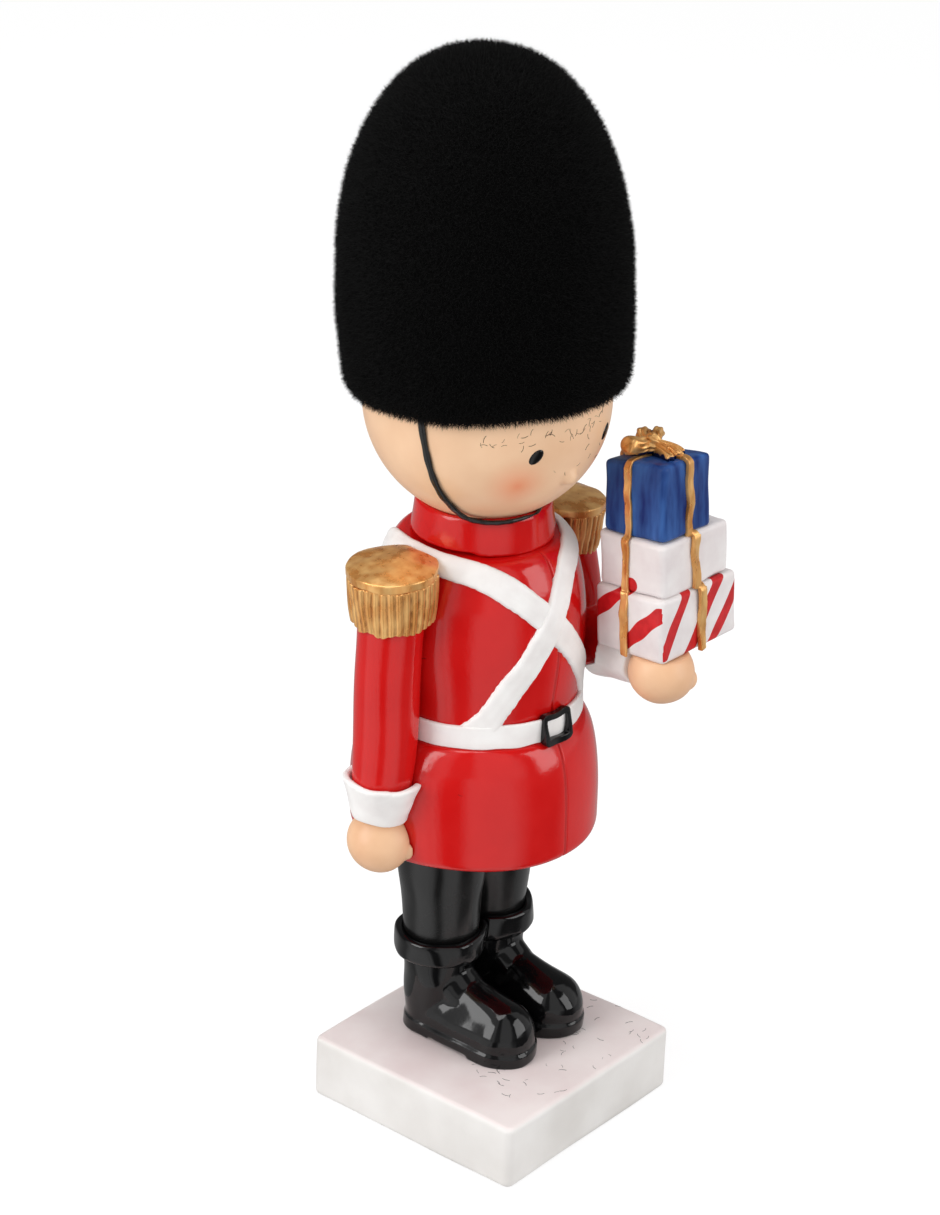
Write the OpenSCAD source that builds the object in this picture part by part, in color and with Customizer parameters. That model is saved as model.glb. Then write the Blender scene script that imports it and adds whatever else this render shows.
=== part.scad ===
// Soldier figurine: a cast resin guardsman in a flocked bearskin hat, with three gift boxes on his left hand.
// Millimetres, +Z up. The origin is the middle of the plinth's underside and the figure looks along -Y.
// The figure's own right is -X. Every height is a stack of the pieces below it.

/* [Plinth] */
// Side of the square plinth
plinth_side = 47; // [44:0.5:56]
// Height of the plinth
plinth_h = 12.4; // [10:0.2:18]
// Radius of the plinth's upright edges
plinth_corner_r = 1.4; // [1.2:0.1:4]
// Rounding of the plinth's top and bottom edges
plinth_edge_r = 0.8; // [0.4:0.1:1.2]
// How far the figure stands to its left of the plinth's middle
figure_x = 3; // [0:0.2:3.6]
// How far the figure's axis stands behind the plinth's middle
figure_y = 8.9; // [6:0.1:9.5]
// Turn of the figure's upper body towards its right
figure_turn = 3.5; // [0:0.5:6]

/* [Boots] */
// Distance of each leg from the middle
leg_x = 7; // [6.8:0.1:8]
// How far the legs stand behind the body's axis
leg_back = 1.1; // [0:0.1:2]
// Half of the gap between the two legs
leg_gap = 0.15; // [0.1:0.05:0.3]
// Thickness of the sole with its heel
sole_t = 2.6; // [2:0.1:3.5]
// How far the sole's welt stands out round the boot
welt = 0.35; // [0.2:0.05:0.6]
// Height of the hollow under the arch of the sole
arch_h = 0.6; // [0.3:0.1:1]
// Half width of the foot
foot_r = 6.2; // [5.8:0.1:6.3]
// Distance from the leg's axis to the middle of the toe
toe_reach = 15.4; // [13:0.2:17]
// Height of the toe cap above the sole
toe_h = 7.6; // [6.8:0.1:8.6]
// Radius of the boot's shaft
shaft_r = 7; // [6.6:0.1:7.4]
// Height of the boot above the sole
boot_h = 17.2; // [15:0.2:22]
// Height of the turned band at the boot's top
band_h = 4.8; // [3.5:0.1:6]
// How far the band stands out of the shaft
band_t = 1.5; // [1:0.1:2]
// How far the band stands above the boot's mouth
band_lip = 1; // [0.6:0.1:1.4]

/* [Legs] */
// Length of the trouser leg between boot and coat
leg_len = 21.4; // [18:0.2:26]
// Radius of the leg where it enters the boot
leg_low_r = 6.8; // [6.4:0.1:6.9]
// Radius of the leg under the coat
leg_top_r = 8.8; // [8:0.1:9.2]
// Radius of the steel pin in each leg
pin_r = 1.5; // [1.2:0.1:2]
// Depth of the leg pin in the plinth and in the coat
pin_depth = 8; // [6:0.5:9]
// Play of every pin and peg in its hole
peg_play = 0.05; // [0.03:0.01:0.1]

/* [Coat] */
// Radius of the coat skirt
skirt_r = 22.6; // [22:0.1:24]
// Rounding of the hem
hem_round = 1.8; // [1:0.1:2.4]
// Height of the widest line of the skirt above the hem
skirt_h = 7.4; // [5:0.2:10]
// Height of the belt's lower edge above the hem
belt_rise = 23.2; // [20:0.2:26]
// Radius of the coat under the belt
waist_r = 18.2; // [17.4:0.1:18.8]
// Radius of the coat at the chest
chest_r = 19; // [18.4:0.1:19.6]
// Height of the widest line of the chest above the hem
chest_rise = 39; // [36:0.5:42]
// Height of the coat from the hem to the collar
coat_h = 57.2; // [55:0.2:62]
// Radius of the coat's top under the collar
neck_r = 13.4; // [13.2:0.1:14.2]
// Width of the front seam's groove
seam_w = 0.5; // [0.3:0.1:0.8]
// Depth of the front seam's groove
seam_depth = 0.4; // [0.2:0.05:0.6]
// Height of the standing collar
collar_h = 6.9; // [6:0.1:7.6]
// Radius of the collar at its foot
collar_r = 13; // [12:0.1:13.1]
// How much the collar narrows to its top
collar_taper = 0.9; // [0.3:0.1:1.4]
// Rounding of the collar's top edge
collar_round = 0.8; // [0.4:0.1:1]

/* [Belts] */
// Height of the waist belt
belt_h = 4.4; // [3.6:0.1:5]
// Thickness of the waist belt
belt_t = 0.8; // [0.5:0.1:1.1]
// Width of the two crossed straps
strap_w = 5.2; // [4:0.1:6]
// Thickness of the strap that lies below
strap_t = 0.6; // [0.4:0.05:0.7]
// Thickness of the strap that lies on top
strap_over_t = 0.95; // [0.8:0.05:1.2]
// Slope of the strap from the right shoulder to the left hip
strap_slope = 48; // [44:1:52]
// Rise of that strap's plane towards the front and the back
strap_lean = 2; // [1:0.5:8]
// Depth of that strap's plane below the coat's top, on the body's axis
strap_drop = 14.8; // [13:0.2:16]
// Slope of the strap from the left shoulder to the right hip
strap_over_slope = 55; // [52:1:58]
// Rise of that strap's plane towards the front and the back
strap_over_lean = 23.5; // [20:0.5:26]
// Depth of that strap's plane below the coat's top, on the body's axis
strap_over_drop = 18; // [17:0.2:19]
// How far the front and back halves of a strap run into each other on the shoulder
strap_lap = 0.6; // [0.4:0.1:1]
// Width of the buckle frame
buckle_w = 7.2; // [6:0.1:8.5]
// Height of the buckle frame
buckle_h = 6.8; // [5.8:0.1:8]
// Width of the buckle's rim
buckle_rim = 0.95; // [0.7:0.05:1.2]
// How far the buckle stands out of the belt
buckle_t = 0.9; // [0.6:0.1:1.2]
// Depth of the buckle's back behind the belt's front
buckle_root = 1; // [0.6:0.1:1.5]
// Backward lean of the buckle
buckle_lean = 8; // [4:0.5:12]

/* [Arms] */
// Radius of the sleeve at the shoulder
sleeve_r = 6; // [5.6:0.1:6.4]
// Radius of the sleeve at the wrist
sleeve_end_r = 5.5; // [5:0.1:5.6]
// How deep the sleeve sinks into the side of the chest
arm_sink = 2.4; // [1.8:0.1:3]
// Depth of the shoulder's middle below the coat's top
shoulder_drop = 6.6; // [6:0.2:8]
// Length of the hanging right arm from shoulder to wrist
arm_len = 41.4; // [38:0.2:44]
// How far the right wrist hangs outside the shoulder
arm_out = 1.4; // [0.8:0.1:2.5]
// Length of the cuffs
cuff_len = 7.4; // [6:0.1:9]
// Extra length of the left cuff
left_cuff_extra = 1.8; // [0:0.1:3]
// Radius of the cuff at the hand
cuff_low_r = 4.9; // [4.4:0.1:5.2]
// Radius of the cuff at its flared rim
cuff_rim_r = 6.9; // [6.6:0.1:7.4]
// Depth of the cuff's mouth, in which the sleeve ends
cuff_mouth = 4.2; // [3:0.2:5]
// Radius of the round hands
hand_r = 5.9; // [5.4:0.1:6.4]
// Distance from the cuff's low end to the middle of the hand
hand_reach = 5; // [3.6:0.1:5.2]
// Radius of the thumb
thumb_r = 2.2; // [1.8:0.1:2.6]
// Length of the left upper arm
upper_arm = 19; // [17:0.2:22]
// How far the left elbow's padding stands out of the sleeve
elbow_pad = 0.3; // [0.2:0.1:0.5]
// How far the left shoulder lies behind the coat's middle
left_back = 2; // [0:0.2:2.4]
// How far the left elbow stands in front of the shoulder
elbow_fwd = 3.6; // [2:0.2:5]
// How much shorter the left forearm is than the head's radius, so that the boxes stay clear of the face
forearm_less = 0.3; // [-0.5:0.1:1]
// Turn of the left forearm towards the middle
forearm_in = 14; // [10:1:18]
// Rise of the left forearm
forearm_up = 6; // [0:0.5:8]
// Radius of the pegs that hold the arms and hands
peg_r = 2; // [1.6:0.1:2.4]
// How deep the hand's peg is rooted in the hand
peg_root = 1; // [0.5:0.1:1.5]
// Length of the arm pegs on each side of the joint
peg_len = 4.5; // [3.5:0.1:5]

/* [Epaulettes] */
// Radius of the epaulette's cap
cap_r = 7.8; // [7.4:0.1:8.4]
// Thickness of the cap's rim
cap_rim = 1.5; // [1:0.1:2]
// Rise of the cap's dome
cap_dome = 1.3; // [0.8:0.1:2]
// Height of the cap's underside above the shoulder's middle
cap_rise = 4.1; // [3.6:0.1:4.6]
// Outward tilt of the epaulette
cap_tilt = 4; // [2:0.5:6]
// How far the epaulette stands outside the shoulder's middle
cap_out = 0.5; // [0.2:0.1:1]
// Gap between fringe and sleeve
fringe_gap = 0.3; // [0.25:0.05:0.6]
// Length of the fringe
fringe_len = 7.8; // [6:0.1:10]
// Radius of one fringe cord
cord_r = 0.68; // [0.5:0.02:0.8]
// Number of fringe cords on a full circle
cord_count = 34; // [28:1:38]

/* [Head] */
// Radius of the round head
head_r = 21.7; // [20.5:0.1:22.5]
// Radius of the head's seat in the collar
seat_r = 11.4; // [10.6:0.1:11.8]
// Radius of the neck peg
neck_peg_r = 4; // [3:0.1:5]
// Depth of the neck peg in the coat and in the head
neck_peg_depth = 8; // [6:0.5:10]
// Radius of the nose
nose_r = 1.65; // [1.3:0.05:2]
// How far the nose's middle lies below the skin
nose_sink = 0.3; // [0:0.05:0.6]
// Angle of the nose below the head's middle
nose_drop = 25.5; // [22:0.5:29]
// Angle of each eye from the middle of the face
eye_angle = 24; // [18:0.5:27]
// Angle of the eyes below the head's middle
eye_drop = 9; // [4:0.2:11]
// Width of an eye
eye_w = 2.2; // [1.6:0.1:2.8]
// Height of an eye
eye_h = 3.4; // [2.8:0.1:4.2]
// How far the eyes stand out of the face
eye_t = 0.35; // [0.2:0.05:0.5]
// Width of the chin strap
chin_w = 1.35; // [1:0.05:1.8]
// Thickness of the chin strap
chin_t = 0.7; // [0.4:0.05:1]
// How far the chin strap's plane lies in front of the head's middle
chin_fwd = 5.3; // [3:0.1:6.5]
// Forward lean of the chin strap's lower end
chin_lean = 4.8; // [3:0.2:10]

/* [Hat] */
// Height of the hat's rim above the head's middle
rim_rise = 1.2; // [0.8:0.1:4]
// Height of the hat from rim to crown
hat_h = 60; // [52:0.5:64]
// Radius of the hat at its widest
hat_r = 25.6; // [24.8:0.1:27]
// Rounding of the hat's rim
rim_round = 3.2; // [2.4:0.1:3.5]
// Height of the hat's widest line above the rim
bulge_rise = 18; // [12:0.5:22]
// How much narrower the hat is above its rim than at its widest
rim_taper = 0.6; // [0.2:0.1:0.8]
// Fullness of the crown, 2 for an ellipse and more for a squarer dome
crown_power = 2.2; // [2:0.05:2.6]
// Backward tilt of the hat
hat_tilt = 4; // [0:0.5:6]
// Thickness of the flock layer with its backing
flock_t = 1.1; // [0.8:0.1:1.6]

/* [Gifts] */
// Width, depth and height of the striped bottom box
gift_low = [21, 15.4, 11.8]; // [10:0.1:26]
// Width, depth and height of the white middle box
gift_mid = [18.6, 14.6, 10]; // [8:0.1:22]
// Width, depth and height of the blue top box
gift_top = [13.5, 13.4, 14.4]; // [8:0.1:18]
// Step from each box to the next at the near corner
gift_step = [0.7, 0.5]; // [0.4:0.1:1]
// Rounding of the boxes' edges
gift_round = 1.1; // [0.6:0.1:1.5]
// Rounding of the boxes' top and bottom edges, as a share of the upright ones
gift_edge = 0.8; // [0.4:0.1:0.9]
// Place of the stack's near corner from the left hand's middle
stack_back = [-4.4, -3.8]; // [-6:0.1:-2]
// Turn of the stack
stack_turn = 2; // [0:0.5:8]
// Backward lean of the stack
stack_lean = 4; // [2:0.5:5]
// How much the boxes flatten the top of the hand
palm_flat = 2.2; // [1:0.1:2.6]
// Width of the gift ribbon
ribbon_w = 2; // [1.4:0.1:2.6]
// Thickness of the ribbon that goes round the boxes from side to side
ribbon_t = 0.6; // [0.4:0.05:0.7]
// Thickness of the ribbon that goes over it from front to back
ribbon_over_t = 0.9; // [0.8:0.05:1.1]
// Place of the ribbon from side to side on each box, as a share of its depth
ribbon_share = 0.56; // [0.5:0.01:0.6]
// Place of the ribbon from front to back on each box, from the bottom up, as a share of its width
along_share = [0.5, 0.47, 0.49]; // [0.45:0.01:0.7]
// Radius of the pin between hand and boxes
gift_pin_r = 1.2; // [1:0.1:1.6]
// Depth of that pin in the hand and in the bottom box
gift_pin_depth = 4.5; // [3:0.1:6]
// Length of each bow loop
loop_len = 5.2; // [4:0.1:6]
// Radius of the bow loop's full end
loop_r = 1.9; // [1.5:0.1:2.2]
// Turn of the bow's loop to the side
side_loop_turn = 165; // [150:1:175]
// Turn of the bow's loop to the back
back_loop_turn = 40; // [30:1:50]
// Thickness of the back loop as a share of the side loop's
back_flat = 0.65; // [0.5:0.05:0.9]
// Radius of the bow's knot
knot_r = 1.6; // [1.3:0.1:2]

/* [Hidden] */
$fn = 72;
right = -1;
left = 1;
// A length beyond every piece, for half spaces and slabs
far = 4 * (plinth_side + coat_h + hat_h);
// Number of straight steps on each rounded stretch of a turned profile
arc_steps = 8;

// Heights, each on top of the last
sole_z = plinth_h;
boot_z = sole_z + sole_t;
mouth_z = boot_z + boot_h;
hem_z = mouth_z + leg_len;
skirt_z = hem_z + skirt_h;
belt_z = hem_z + belt_rise;
belt_top_z = belt_z + belt_h;
chest_z = hem_z + chest_rise;
collar_z = hem_z + coat_h;
collar_top_z = collar_z + collar_h;
head_z = collar_top_z + sqrt(head_r * head_r - seat_r * seat_r);
shoulder_z = collar_z - shoulder_drop;

// Arms, in the frame of the upper body
arm_x = chest_r + sleeve_r - arm_sink;
right_shoulder = [-arm_x, 0, shoulder_z];
right_wrist = [-arm_x - arm_out, 0, shoulder_z - arm_len];
left_shoulder = [arm_x, left_back, shoulder_z];
left_elbow = [arm_x, -elbow_fwd, shoulder_z - upper_arm];
forearm = head_r - forearm_less;
forearm_dir = [-sin(forearm_in) * cos(forearm_up), -cos(forearm_in) * cos(forearm_up), sin(forearm_up)];
left_wrist = left_elbow + forearm * forearm_dir;
right_arm_dir = (right_wrist - right_shoulder) / norm(right_wrist - right_shoulder);
left_cuff_len = cuff_len + left_cuff_extra;
right_hand_at = right_wrist + hand_reach * right_arm_dir;
left_hand_at = left_wrist + hand_reach * forearm_dir;

// Gift boxes, in the frame of the stack whose origin is the near bottom corner
stack_at = left_hand_at + [stack_back.x, stack_back.y, hand_r - palm_flat];
mid_at = [gift_step.x, gift_step.y, gift_low.z];
top_at = [2 * gift_step.x, 2 * gift_step.y, gift_low.z + gift_mid.z];
bow_at = top_at + [gift_top.x * along_share[2], gift_top.y * ribbon_share, gift_top.z + ribbon_over_t];

// Frames of the lower and upper body, the stack and the head
module at_legs() {
    translate([figure_x, figure_y + leg_back, 0]) children();
}

module at_body() {
    translate([figure_x, figure_y, 0]) rotate(-figure_turn) children();
}

module at_stack() {
    at_body() translate(stack_at) rotate(stack_turn) rotate([-stack_lean, 0, 0]) children();
}

module at_head() {
    at_body() translate([0, 0, head_z]) children();
}

module at_hat() {
    at_head() rotate([-hat_tilt, 0, 0]) children();
}

// A round bar from one point to another
module limb(from, to, r1, r2) {
    d = to - from;
    translate(from) rotate([0, acos(d.z / norm(d)), atan2(d.y, d.x)]) cylinder(h = norm(d), r1 = r1, r2 = r2);
}

// Points a turned profile along a limb's direction
module along(at, dir) {
    translate(at) rotate([0, acos(dir.z), atan2(dir.y, dir.x)]) children();
}

// A flat rectangle with round corners, about its middle
module round_rect(w, h, r) {
    square([w - 2 * r, h], center = true);
    square([w, h - 2 * r], center = true);
    for (x = [-1, 1], y = [-1, 1]) {
        translate([x * (w / 2 - r), y * (h / 2 - r)]) circle(r);
    }
}

// A block from its near bottom corner, with round upright edges and softened top and bottom edges
module round_block(size, corner_r, edge_r) {
    module post() {
        rotate_extrude() intersection() {
            translate([0, size.z / 2]) round_rect(2 * corner_r, size.z, edge_r);
            square([corner_r, size.z]);
        }
    }
    for (x = [corner_r, size.x - corner_r], y = [corner_r, size.y - corner_r]) {
        translate([x, y, 0]) post();
    }
    translate([corner_r, size.y / 2, size.z / 2]) rotate([90, 0, 90])
        linear_extrude(size.x - 2 * corner_r) round_rect(size.y, size.z, edge_r);
    translate([size.x / 2, size.y - corner_r, size.z / 2]) rotate([90, 0, 0])
        linear_extrude(size.y - 2 * corner_r) round_rect(size.x, size.z, edge_r);
}

// Plan of a foot: a strip with two round ends
module foot_plan(r) {
    circle(r);
    translate([0, -toe_reach]) circle(r);
    translate([-r, -toe_reach]) square([2 * r, toe_reach]);
}

// Keeps one leg on its own side of the middle
module own_side(side) {
    intersection() {
        children();
        translate([side * (far / 2 + leg_gap), 0, 0]) cube(far, center = true);
    }
}

// The hole for a leg's pin, from the plinth up into the coat
module leg_pin_hole(side) {
    at_legs() translate([side * leg_x, 0, plinth_h - pin_depth])
        cylinder(h = hem_z + pin_depth - (plinth_h - pin_depth) + peg_play, r = pin_r + peg_play);
}

module plinth() {
    color("whitesmoke") difference() {
        translate([-plinth_side / 2, -plinth_side / 2, 0])
            round_block([plinth_side, plinth_side, plinth_h], plinth_corner_r, plinth_edge_r);
        for (side = [right, left]) leg_pin_hole(side);
    }
}

module sole(side) {
    color("black") difference() {
        at_legs() translate([side * leg_x, 0, sole_z]) difference() {
            linear_extrude(sole_t) foot_plan(foot_r + welt);
            translate([-far / 2, -toe_reach + foot_r / 2, -1])
                cube([far, toe_reach - foot_r, 1 + arch_h]);
        }
        leg_pin_hole(side);
    }
}

module boot(side) {
    ball_z = toe_h - foot_r;
    color("black") difference() {
        at_legs() translate([side * leg_x, 0, boot_z]) intersection() {
            union() {
                cylinder(h = boot_h, r1 = foot_r, r2 = shaft_r);
                hull($fn = 32) {
                    translate([0, -toe_reach, ball_z]) sphere(foot_r);
                    translate([0, 0, ball_z]) sphere(foot_r);
                    translate([0, -foot_r / 2, toe_h]) sphere(foot_r / 2);
                }
                hull($fn = 32) {
                    translate([0, -foot_r / 3, boot_h - band_h - foot_r / 2]) sphere(foot_r * 0.7);
                    translate([0, -toe_reach * 0.62, ball_z + 1]) sphere(foot_r * 0.8);
                }
            }
            cylinder(h = boot_h, r = far);
        }
        leg_pin_hole(side);
    }
}

module boot_band(side) {
    wall = (band_t + shaft_r - leg_low_r) / 2;
    color("black") own_side_band(side) difference() {
        translate([0, 0, mouth_z + band_lip - band_h]) rotate_extrude()
            translate([leg_low_r + wall, band_h / 2]) round_rect(2 * wall, band_h, wall * 0.85);
        translate([0, 0, boot_z]) cylinder(h = boot_h, r1 = foot_r, r2 = shaft_r);
        translate([0, 0, mouth_z]) cylinder(h = leg_len, r1 = leg_low_r, r2 = leg_top_r);
    }
}

// Places a piece round one leg and cuts it at the middle of the pair
module own_side_band(side) {
    at_legs() own_side(side) translate([side * leg_x, 0, 0]) children();
}

module leg(side) {
    color("#262626") difference() {
        own_side_band(side) translate([0, 0, mouth_z]) cylinder(h = leg_len, r1 = leg_low_r, r2 = leg_top_r);
        leg_pin_hole(side);
    }
}

module leg_pin(side) {
    color("silver") at_legs() translate([side * leg_x, 0, plinth_h - pin_depth])
        cylinder(h = hem_z + pin_depth - (plinth_h - pin_depth), r = pin_r);
}

// Outline of the coat from hem to collar, as points of radius and height
function coat_outline(grow) = concat(
    [for (i = [0 : 4]) [
        skirt_r - hem_round + hem_round * sin(i * 90 / 4) + grow,
        hem_z + hem_round - hem_round * cos(i * 90 / 4)]],
    [for (i = [0 : arc_steps]) let (t = sin(i * 90 / arc_steps)) [
        waist_r + (skirt_r - waist_r) * sqrt(1 - t * t) + grow, skirt_z + (belt_z - skirt_z) * t]],
    [for (i = [0 : arc_steps / 2]) let (t = i / (arc_steps / 2)) [
        waist_r + (chest_r - waist_r) * t * t * (3 - 2 * t) + grow, belt_top_z + (chest_z - belt_top_z) * t]],
    [for (i = [1 : arc_steps]) let (t = sin(i * 90 / arc_steps)) [
        neck_r + (chest_r - neck_r) * sqrt(1 - t * t) + grow, chest_z + (collar_z - chest_z) * t]]);

module coat_form() {
    rotate_extrude() polygon(concat([[0, hem_z]], coat_outline(0), [[0, collar_z]]));
}

// A skin of even thickness on the coat, from one depth to another, over its top as well
module coat_skin(inner, outer) {
    inside = coat_outline(inner);
    rotate_extrude() polygon(concat(
        coat_outline(outer),
        [[neck_r + outer, collar_z + outer], [0, collar_z + outer], [0, collar_z + inner]],
        [for (i = [len(inside) - 1 : -1 : 0]) inside[i]]));
}

module neck_peg_hole() {
    at_body() translate([0, 0, collar_z - neck_peg_depth])
        cylinder(h = head_z - head_r - collar_z + 2 * neck_peg_depth + 2 * peg_play, r = neck_peg_r + peg_play);
}

module arm_peg_form(shoulder, side, play) {
    translate([shoulder.x - side * (arm_sink + sleeve_r + peg_len), shoulder.y, shoulder.z - sleeve_r])
        rotate([0, side * 90, 0]) cylinder(h = 2 * peg_len + 2 * play, r = peg_r + play);
}

module coat() {
    color("firebrick") difference() {
        at_body() difference() {
            coat_form();
            intersection() {
                coat_skin(-seam_depth, 1);
                translate([-seam_w / 2, -far, 0]) cube([seam_w, far, far]);
            }
            arm_peg_form(right_shoulder, right, peg_play);
            arm_peg_form(left_shoulder, left, peg_play);
        }
        for (side = [right, left]) leg_pin_hole(side);
        neck_peg_hole();
    }
}

module collar() {
    color("firebrick") difference() {
        at_body() translate([0, 0, collar_z]) rotate_extrude() union() {
            polygon([
                [0, 0], [collar_r, 0], [collar_r - collar_taper, collar_h - collar_round],
                [collar_r - collar_taper - collar_round, collar_h], [0, collar_h]
            ]);
            translate([collar_r - collar_taper - collar_round, collar_h - collar_round]) circle(collar_round);
        }
        at_head() sphere(head_r, $fn = 96);
        at_head() chin_hoop();
        at_body() under_strap_form();
        at_body() intersection() {
            coat_skin(0, strap_over_t);
            over_strap_space(-far, strap_w / 2);
        }
        neck_peg_hole();
    }
}

module neck_peg() {
    color("tan") at_body() translate([0, 0, collar_z - neck_peg_depth])
        cylinder(h = head_z - head_r - collar_z + 2 * neck_peg_depth, r = neck_peg_r);
}

// The space between two planes that slope across the body like a strap, bent at the shoulder so that front and
// back are alike. The planes are given by their distance above the strap's middle
module strap_space(slope, lean, drop, low, high) {
    normal = [-tan(slope), tan(lean), 1];
    for (back = [0, 1]) mirror([0, back, 0]) intersection() {
        translate([0, 0, collar_z - drop]) rotate([0, acos(1 / norm(normal)), atan2(normal.y, normal.x)])
            translate([-far / 2, -far / 2, low]) cube([far, far, high - low]);
        translate([-far / 2, strap_lap - far, 0]) cube([far, far, far]);
    }
}

module under_strap_space(low, high) {
    strap_space(-strap_slope, strap_lean, strap_drop, low, high);
}

module over_strap_space(low, high) {
    strap_space(strap_over_slope, strap_over_lean, strap_over_drop, low, high);
}

module above_belt() {
    intersection() {
        children();
        translate([0, 0, belt_top_z]) cylinder(h = far, r = far);
    }
}

// The room in front of the belt that the straps leave for the buckle
module buckle_room() {
    translate([0, 0, belt_z + belt_h / 2]) rotate([90, 0, 0]) linear_extrude(far)
        square([buckle_w + strap_t, buckle_h + strap_t], center = true);
}

module above_belt_and_buckle() {
    difference() {
        above_belt() children();
        buckle_room();
    }
}

module under_strap_form() {
    above_belt_and_buckle() intersection() {
        coat_skin(0, strap_t);
        under_strap_space(-strap_w / 2, strap_w / 2);
    }
}

module crossbelt_under() {
    color("white") at_body() under_strap_form();
}

module over_strap_form() {
    difference() {
        above_belt_and_buckle() intersection() {
            coat_skin(0, strap_over_t);
            over_strap_space(-strap_w / 2, strap_w / 2);
        }
        under_strap_form();
    }
}

module crossbelt_over() {
    color("white") at_body() over_strap_form();
}

// The belt with the waist that it goes round
module belt_form() {
    translate([0, 0, belt_z]) cylinder(h = belt_h, r = waist_r + belt_t);
}

module waist_belt() {
    color("white") at_body() difference() {
        belt_form();
        translate([0, 0, belt_z]) cylinder(h = belt_h, r = waist_r);
    }
}

module buckle() {
    color("black") at_body() difference() {
        translate([0, -waist_r - belt_t, belt_z + belt_h / 2]) rotate([90 - buckle_lean, 0, 0])
            translate([0, 0, -buckle_root]) linear_extrude(buckle_root + buckle_t) difference() {
                round_rect(buckle_w, buckle_h, buckle_rim);
                square([buckle_w - 2 * buckle_rim, buckle_h - 2 * buckle_rim - belt_t], center = true);
            }
        belt_form();
        coat_form();
    }
}

// A tapered sleeve with a round top, turned about the line between two points
module sleeve_limb(from, to, r1, r2) {
    long = norm(to - from);
    along(from, (to - from) / long) rotate_extrude() polygon(concat(
        [for (i = [0 : arc_steps]) [r1 * sin(i * 90 / arc_steps), -r1 * cos(i * 90 / arc_steps)]],
        [[r2, long], [0, long]]));
}

module right_sleeve_form() {
    sleeve_limb(right_shoulder, right_wrist - (cuff_len - cuff_mouth) * right_arm_dir, sleeve_r, sleeve_end_r);
}

module left_sleeve_form() {
    sleeve_limb(left_shoulder, left_elbow, sleeve_r, sleeve_end_r);
    sleeve_limb(left_elbow, left_wrist - (left_cuff_len - cuff_mouth) * forearm_dir, sleeve_end_r + elbow_pad, sleeve_end_r);
}

// The hand's peg runs back through the cuff into the sleeve
module hand_peg(wrist, dir, long, play) {
    limb(wrist + peg_root * dir, wrist - (long - cuff_mouth + peg_len + play) * dir, peg_r + play, peg_r + play);
}

module right_sleeve() {
    color("firebrick") at_body() difference() {
        right_sleeve_form();
        coat_form();
        belt_form();
        arm_peg_form(right_shoulder, right, peg_play);
        hand_peg(right_wrist, right_arm_dir, cuff_len, peg_play);
    }
}

module left_sleeve() {
    color("firebrick") difference() {
        at_body() difference() {
            left_sleeve_form();
            coat_form();
            belt_form();
            arm_peg_form(left_shoulder, left, peg_play);
            hand_peg(left_wrist, forearm_dir, left_cuff_len, peg_play);
        }
        gift_room();
    }
}

module arm_peg(shoulder, side) {
    color("tan") at_body() arm_peg_form(shoulder, side, 0);
}

// A flared cup that the sleeve ends in, with its low end at the wrist
module cuff_form(wrist, dir, long) {
    mouth_low = long - cuff_mouth;
    along(wrist, -dir) rotate_extrude() polygon([
        [0, 0], [cuff_low_r, 0], [cuff_rim_r, long], [sleeve_r + peg_play, long],
        [sleeve_end_r, mouth_low], [0, mouth_low]
    ]);
}

module right_cuff() {
    color("white") at_body() difference() {
        cuff_form(right_wrist, right_arm_dir, cuff_len);
        coat_form();
        belt_form();
        hand_peg(right_wrist, right_arm_dir, cuff_len, peg_play);
    }
}

module left_cuff() {
    color("white") difference() {
        at_body() difference() {
            cuff_form(left_wrist, forearm_dir, left_cuff_len);
            hand_peg(left_wrist, forearm_dir, left_cuff_len, peg_play);
        }
        gift_room();
    }
}

// A round hand with a thumb, cut flat where it meets the cuff
module hand_form(at, wrist, dir, thumb_at) {
    intersection() {
        union() {
            translate(at) sphere(hand_r);
            translate(at + thumb_at) sphere(thumb_r);
        }
        along(wrist, dir) cylinder(h = far, r = far);
    }
}

module right_hand() {
    color("peachpuff") at_body() {
        difference() {
            hand_form(right_hand_at, right_wrist, right_arm_dir, hand_r * [0.45, -0.7, -0.2]);
            coat_form();
        }
        hand_peg(right_wrist, right_arm_dir, cuff_len, 0);
    }
}

module left_hand() {
    color("peachpuff") {
        difference() {
            intersection() {
                at_body() hand_form(left_hand_at, left_wrist, forearm_dir, hand_r * [0.7, -0.35, -0.35]);
                at_stack() translate([0, 0, -far]) cylinder(h = far, r = far);
            }
            gift_pin_form(peg_play);
        }
        at_body() hand_peg(left_wrist, forearm_dir, left_cuff_len, 0);
    }
}

// Frame of one epaulette, on its underside and tilted outwards
module at_epaulette(side) {
    back = side == left ? left_back : 0;
    translate([side * (arm_x + cap_out), back, shoulder_z + cap_rise])
        rotate([0, side * cap_tilt, 0]) children();
}

module shoulder_cut(side) {
    coat_form();
    if (side == right) right_sleeve_form();
    if (side == right) under_strap_space(-strap_w / 2, far);
    if (side == left) left_sleeve_form();
    if (side == left) over_strap_space(-strap_w / 2, far);
}

module epaulette(side) {
    dome_r = (cap_r * cap_r + cap_dome * cap_dome) / (2 * cap_dome);
    color("darkgoldenrod") at_body() difference() {
        at_epaulette(side) intersection() {
            cylinder(h = cap_rim + cap_dome, r = cap_r);
            translate([0, 0, cap_rim + cap_dome - dome_r]) sphere(dome_r);
        }
        shoulder_cut(side);
    }
}

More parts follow.
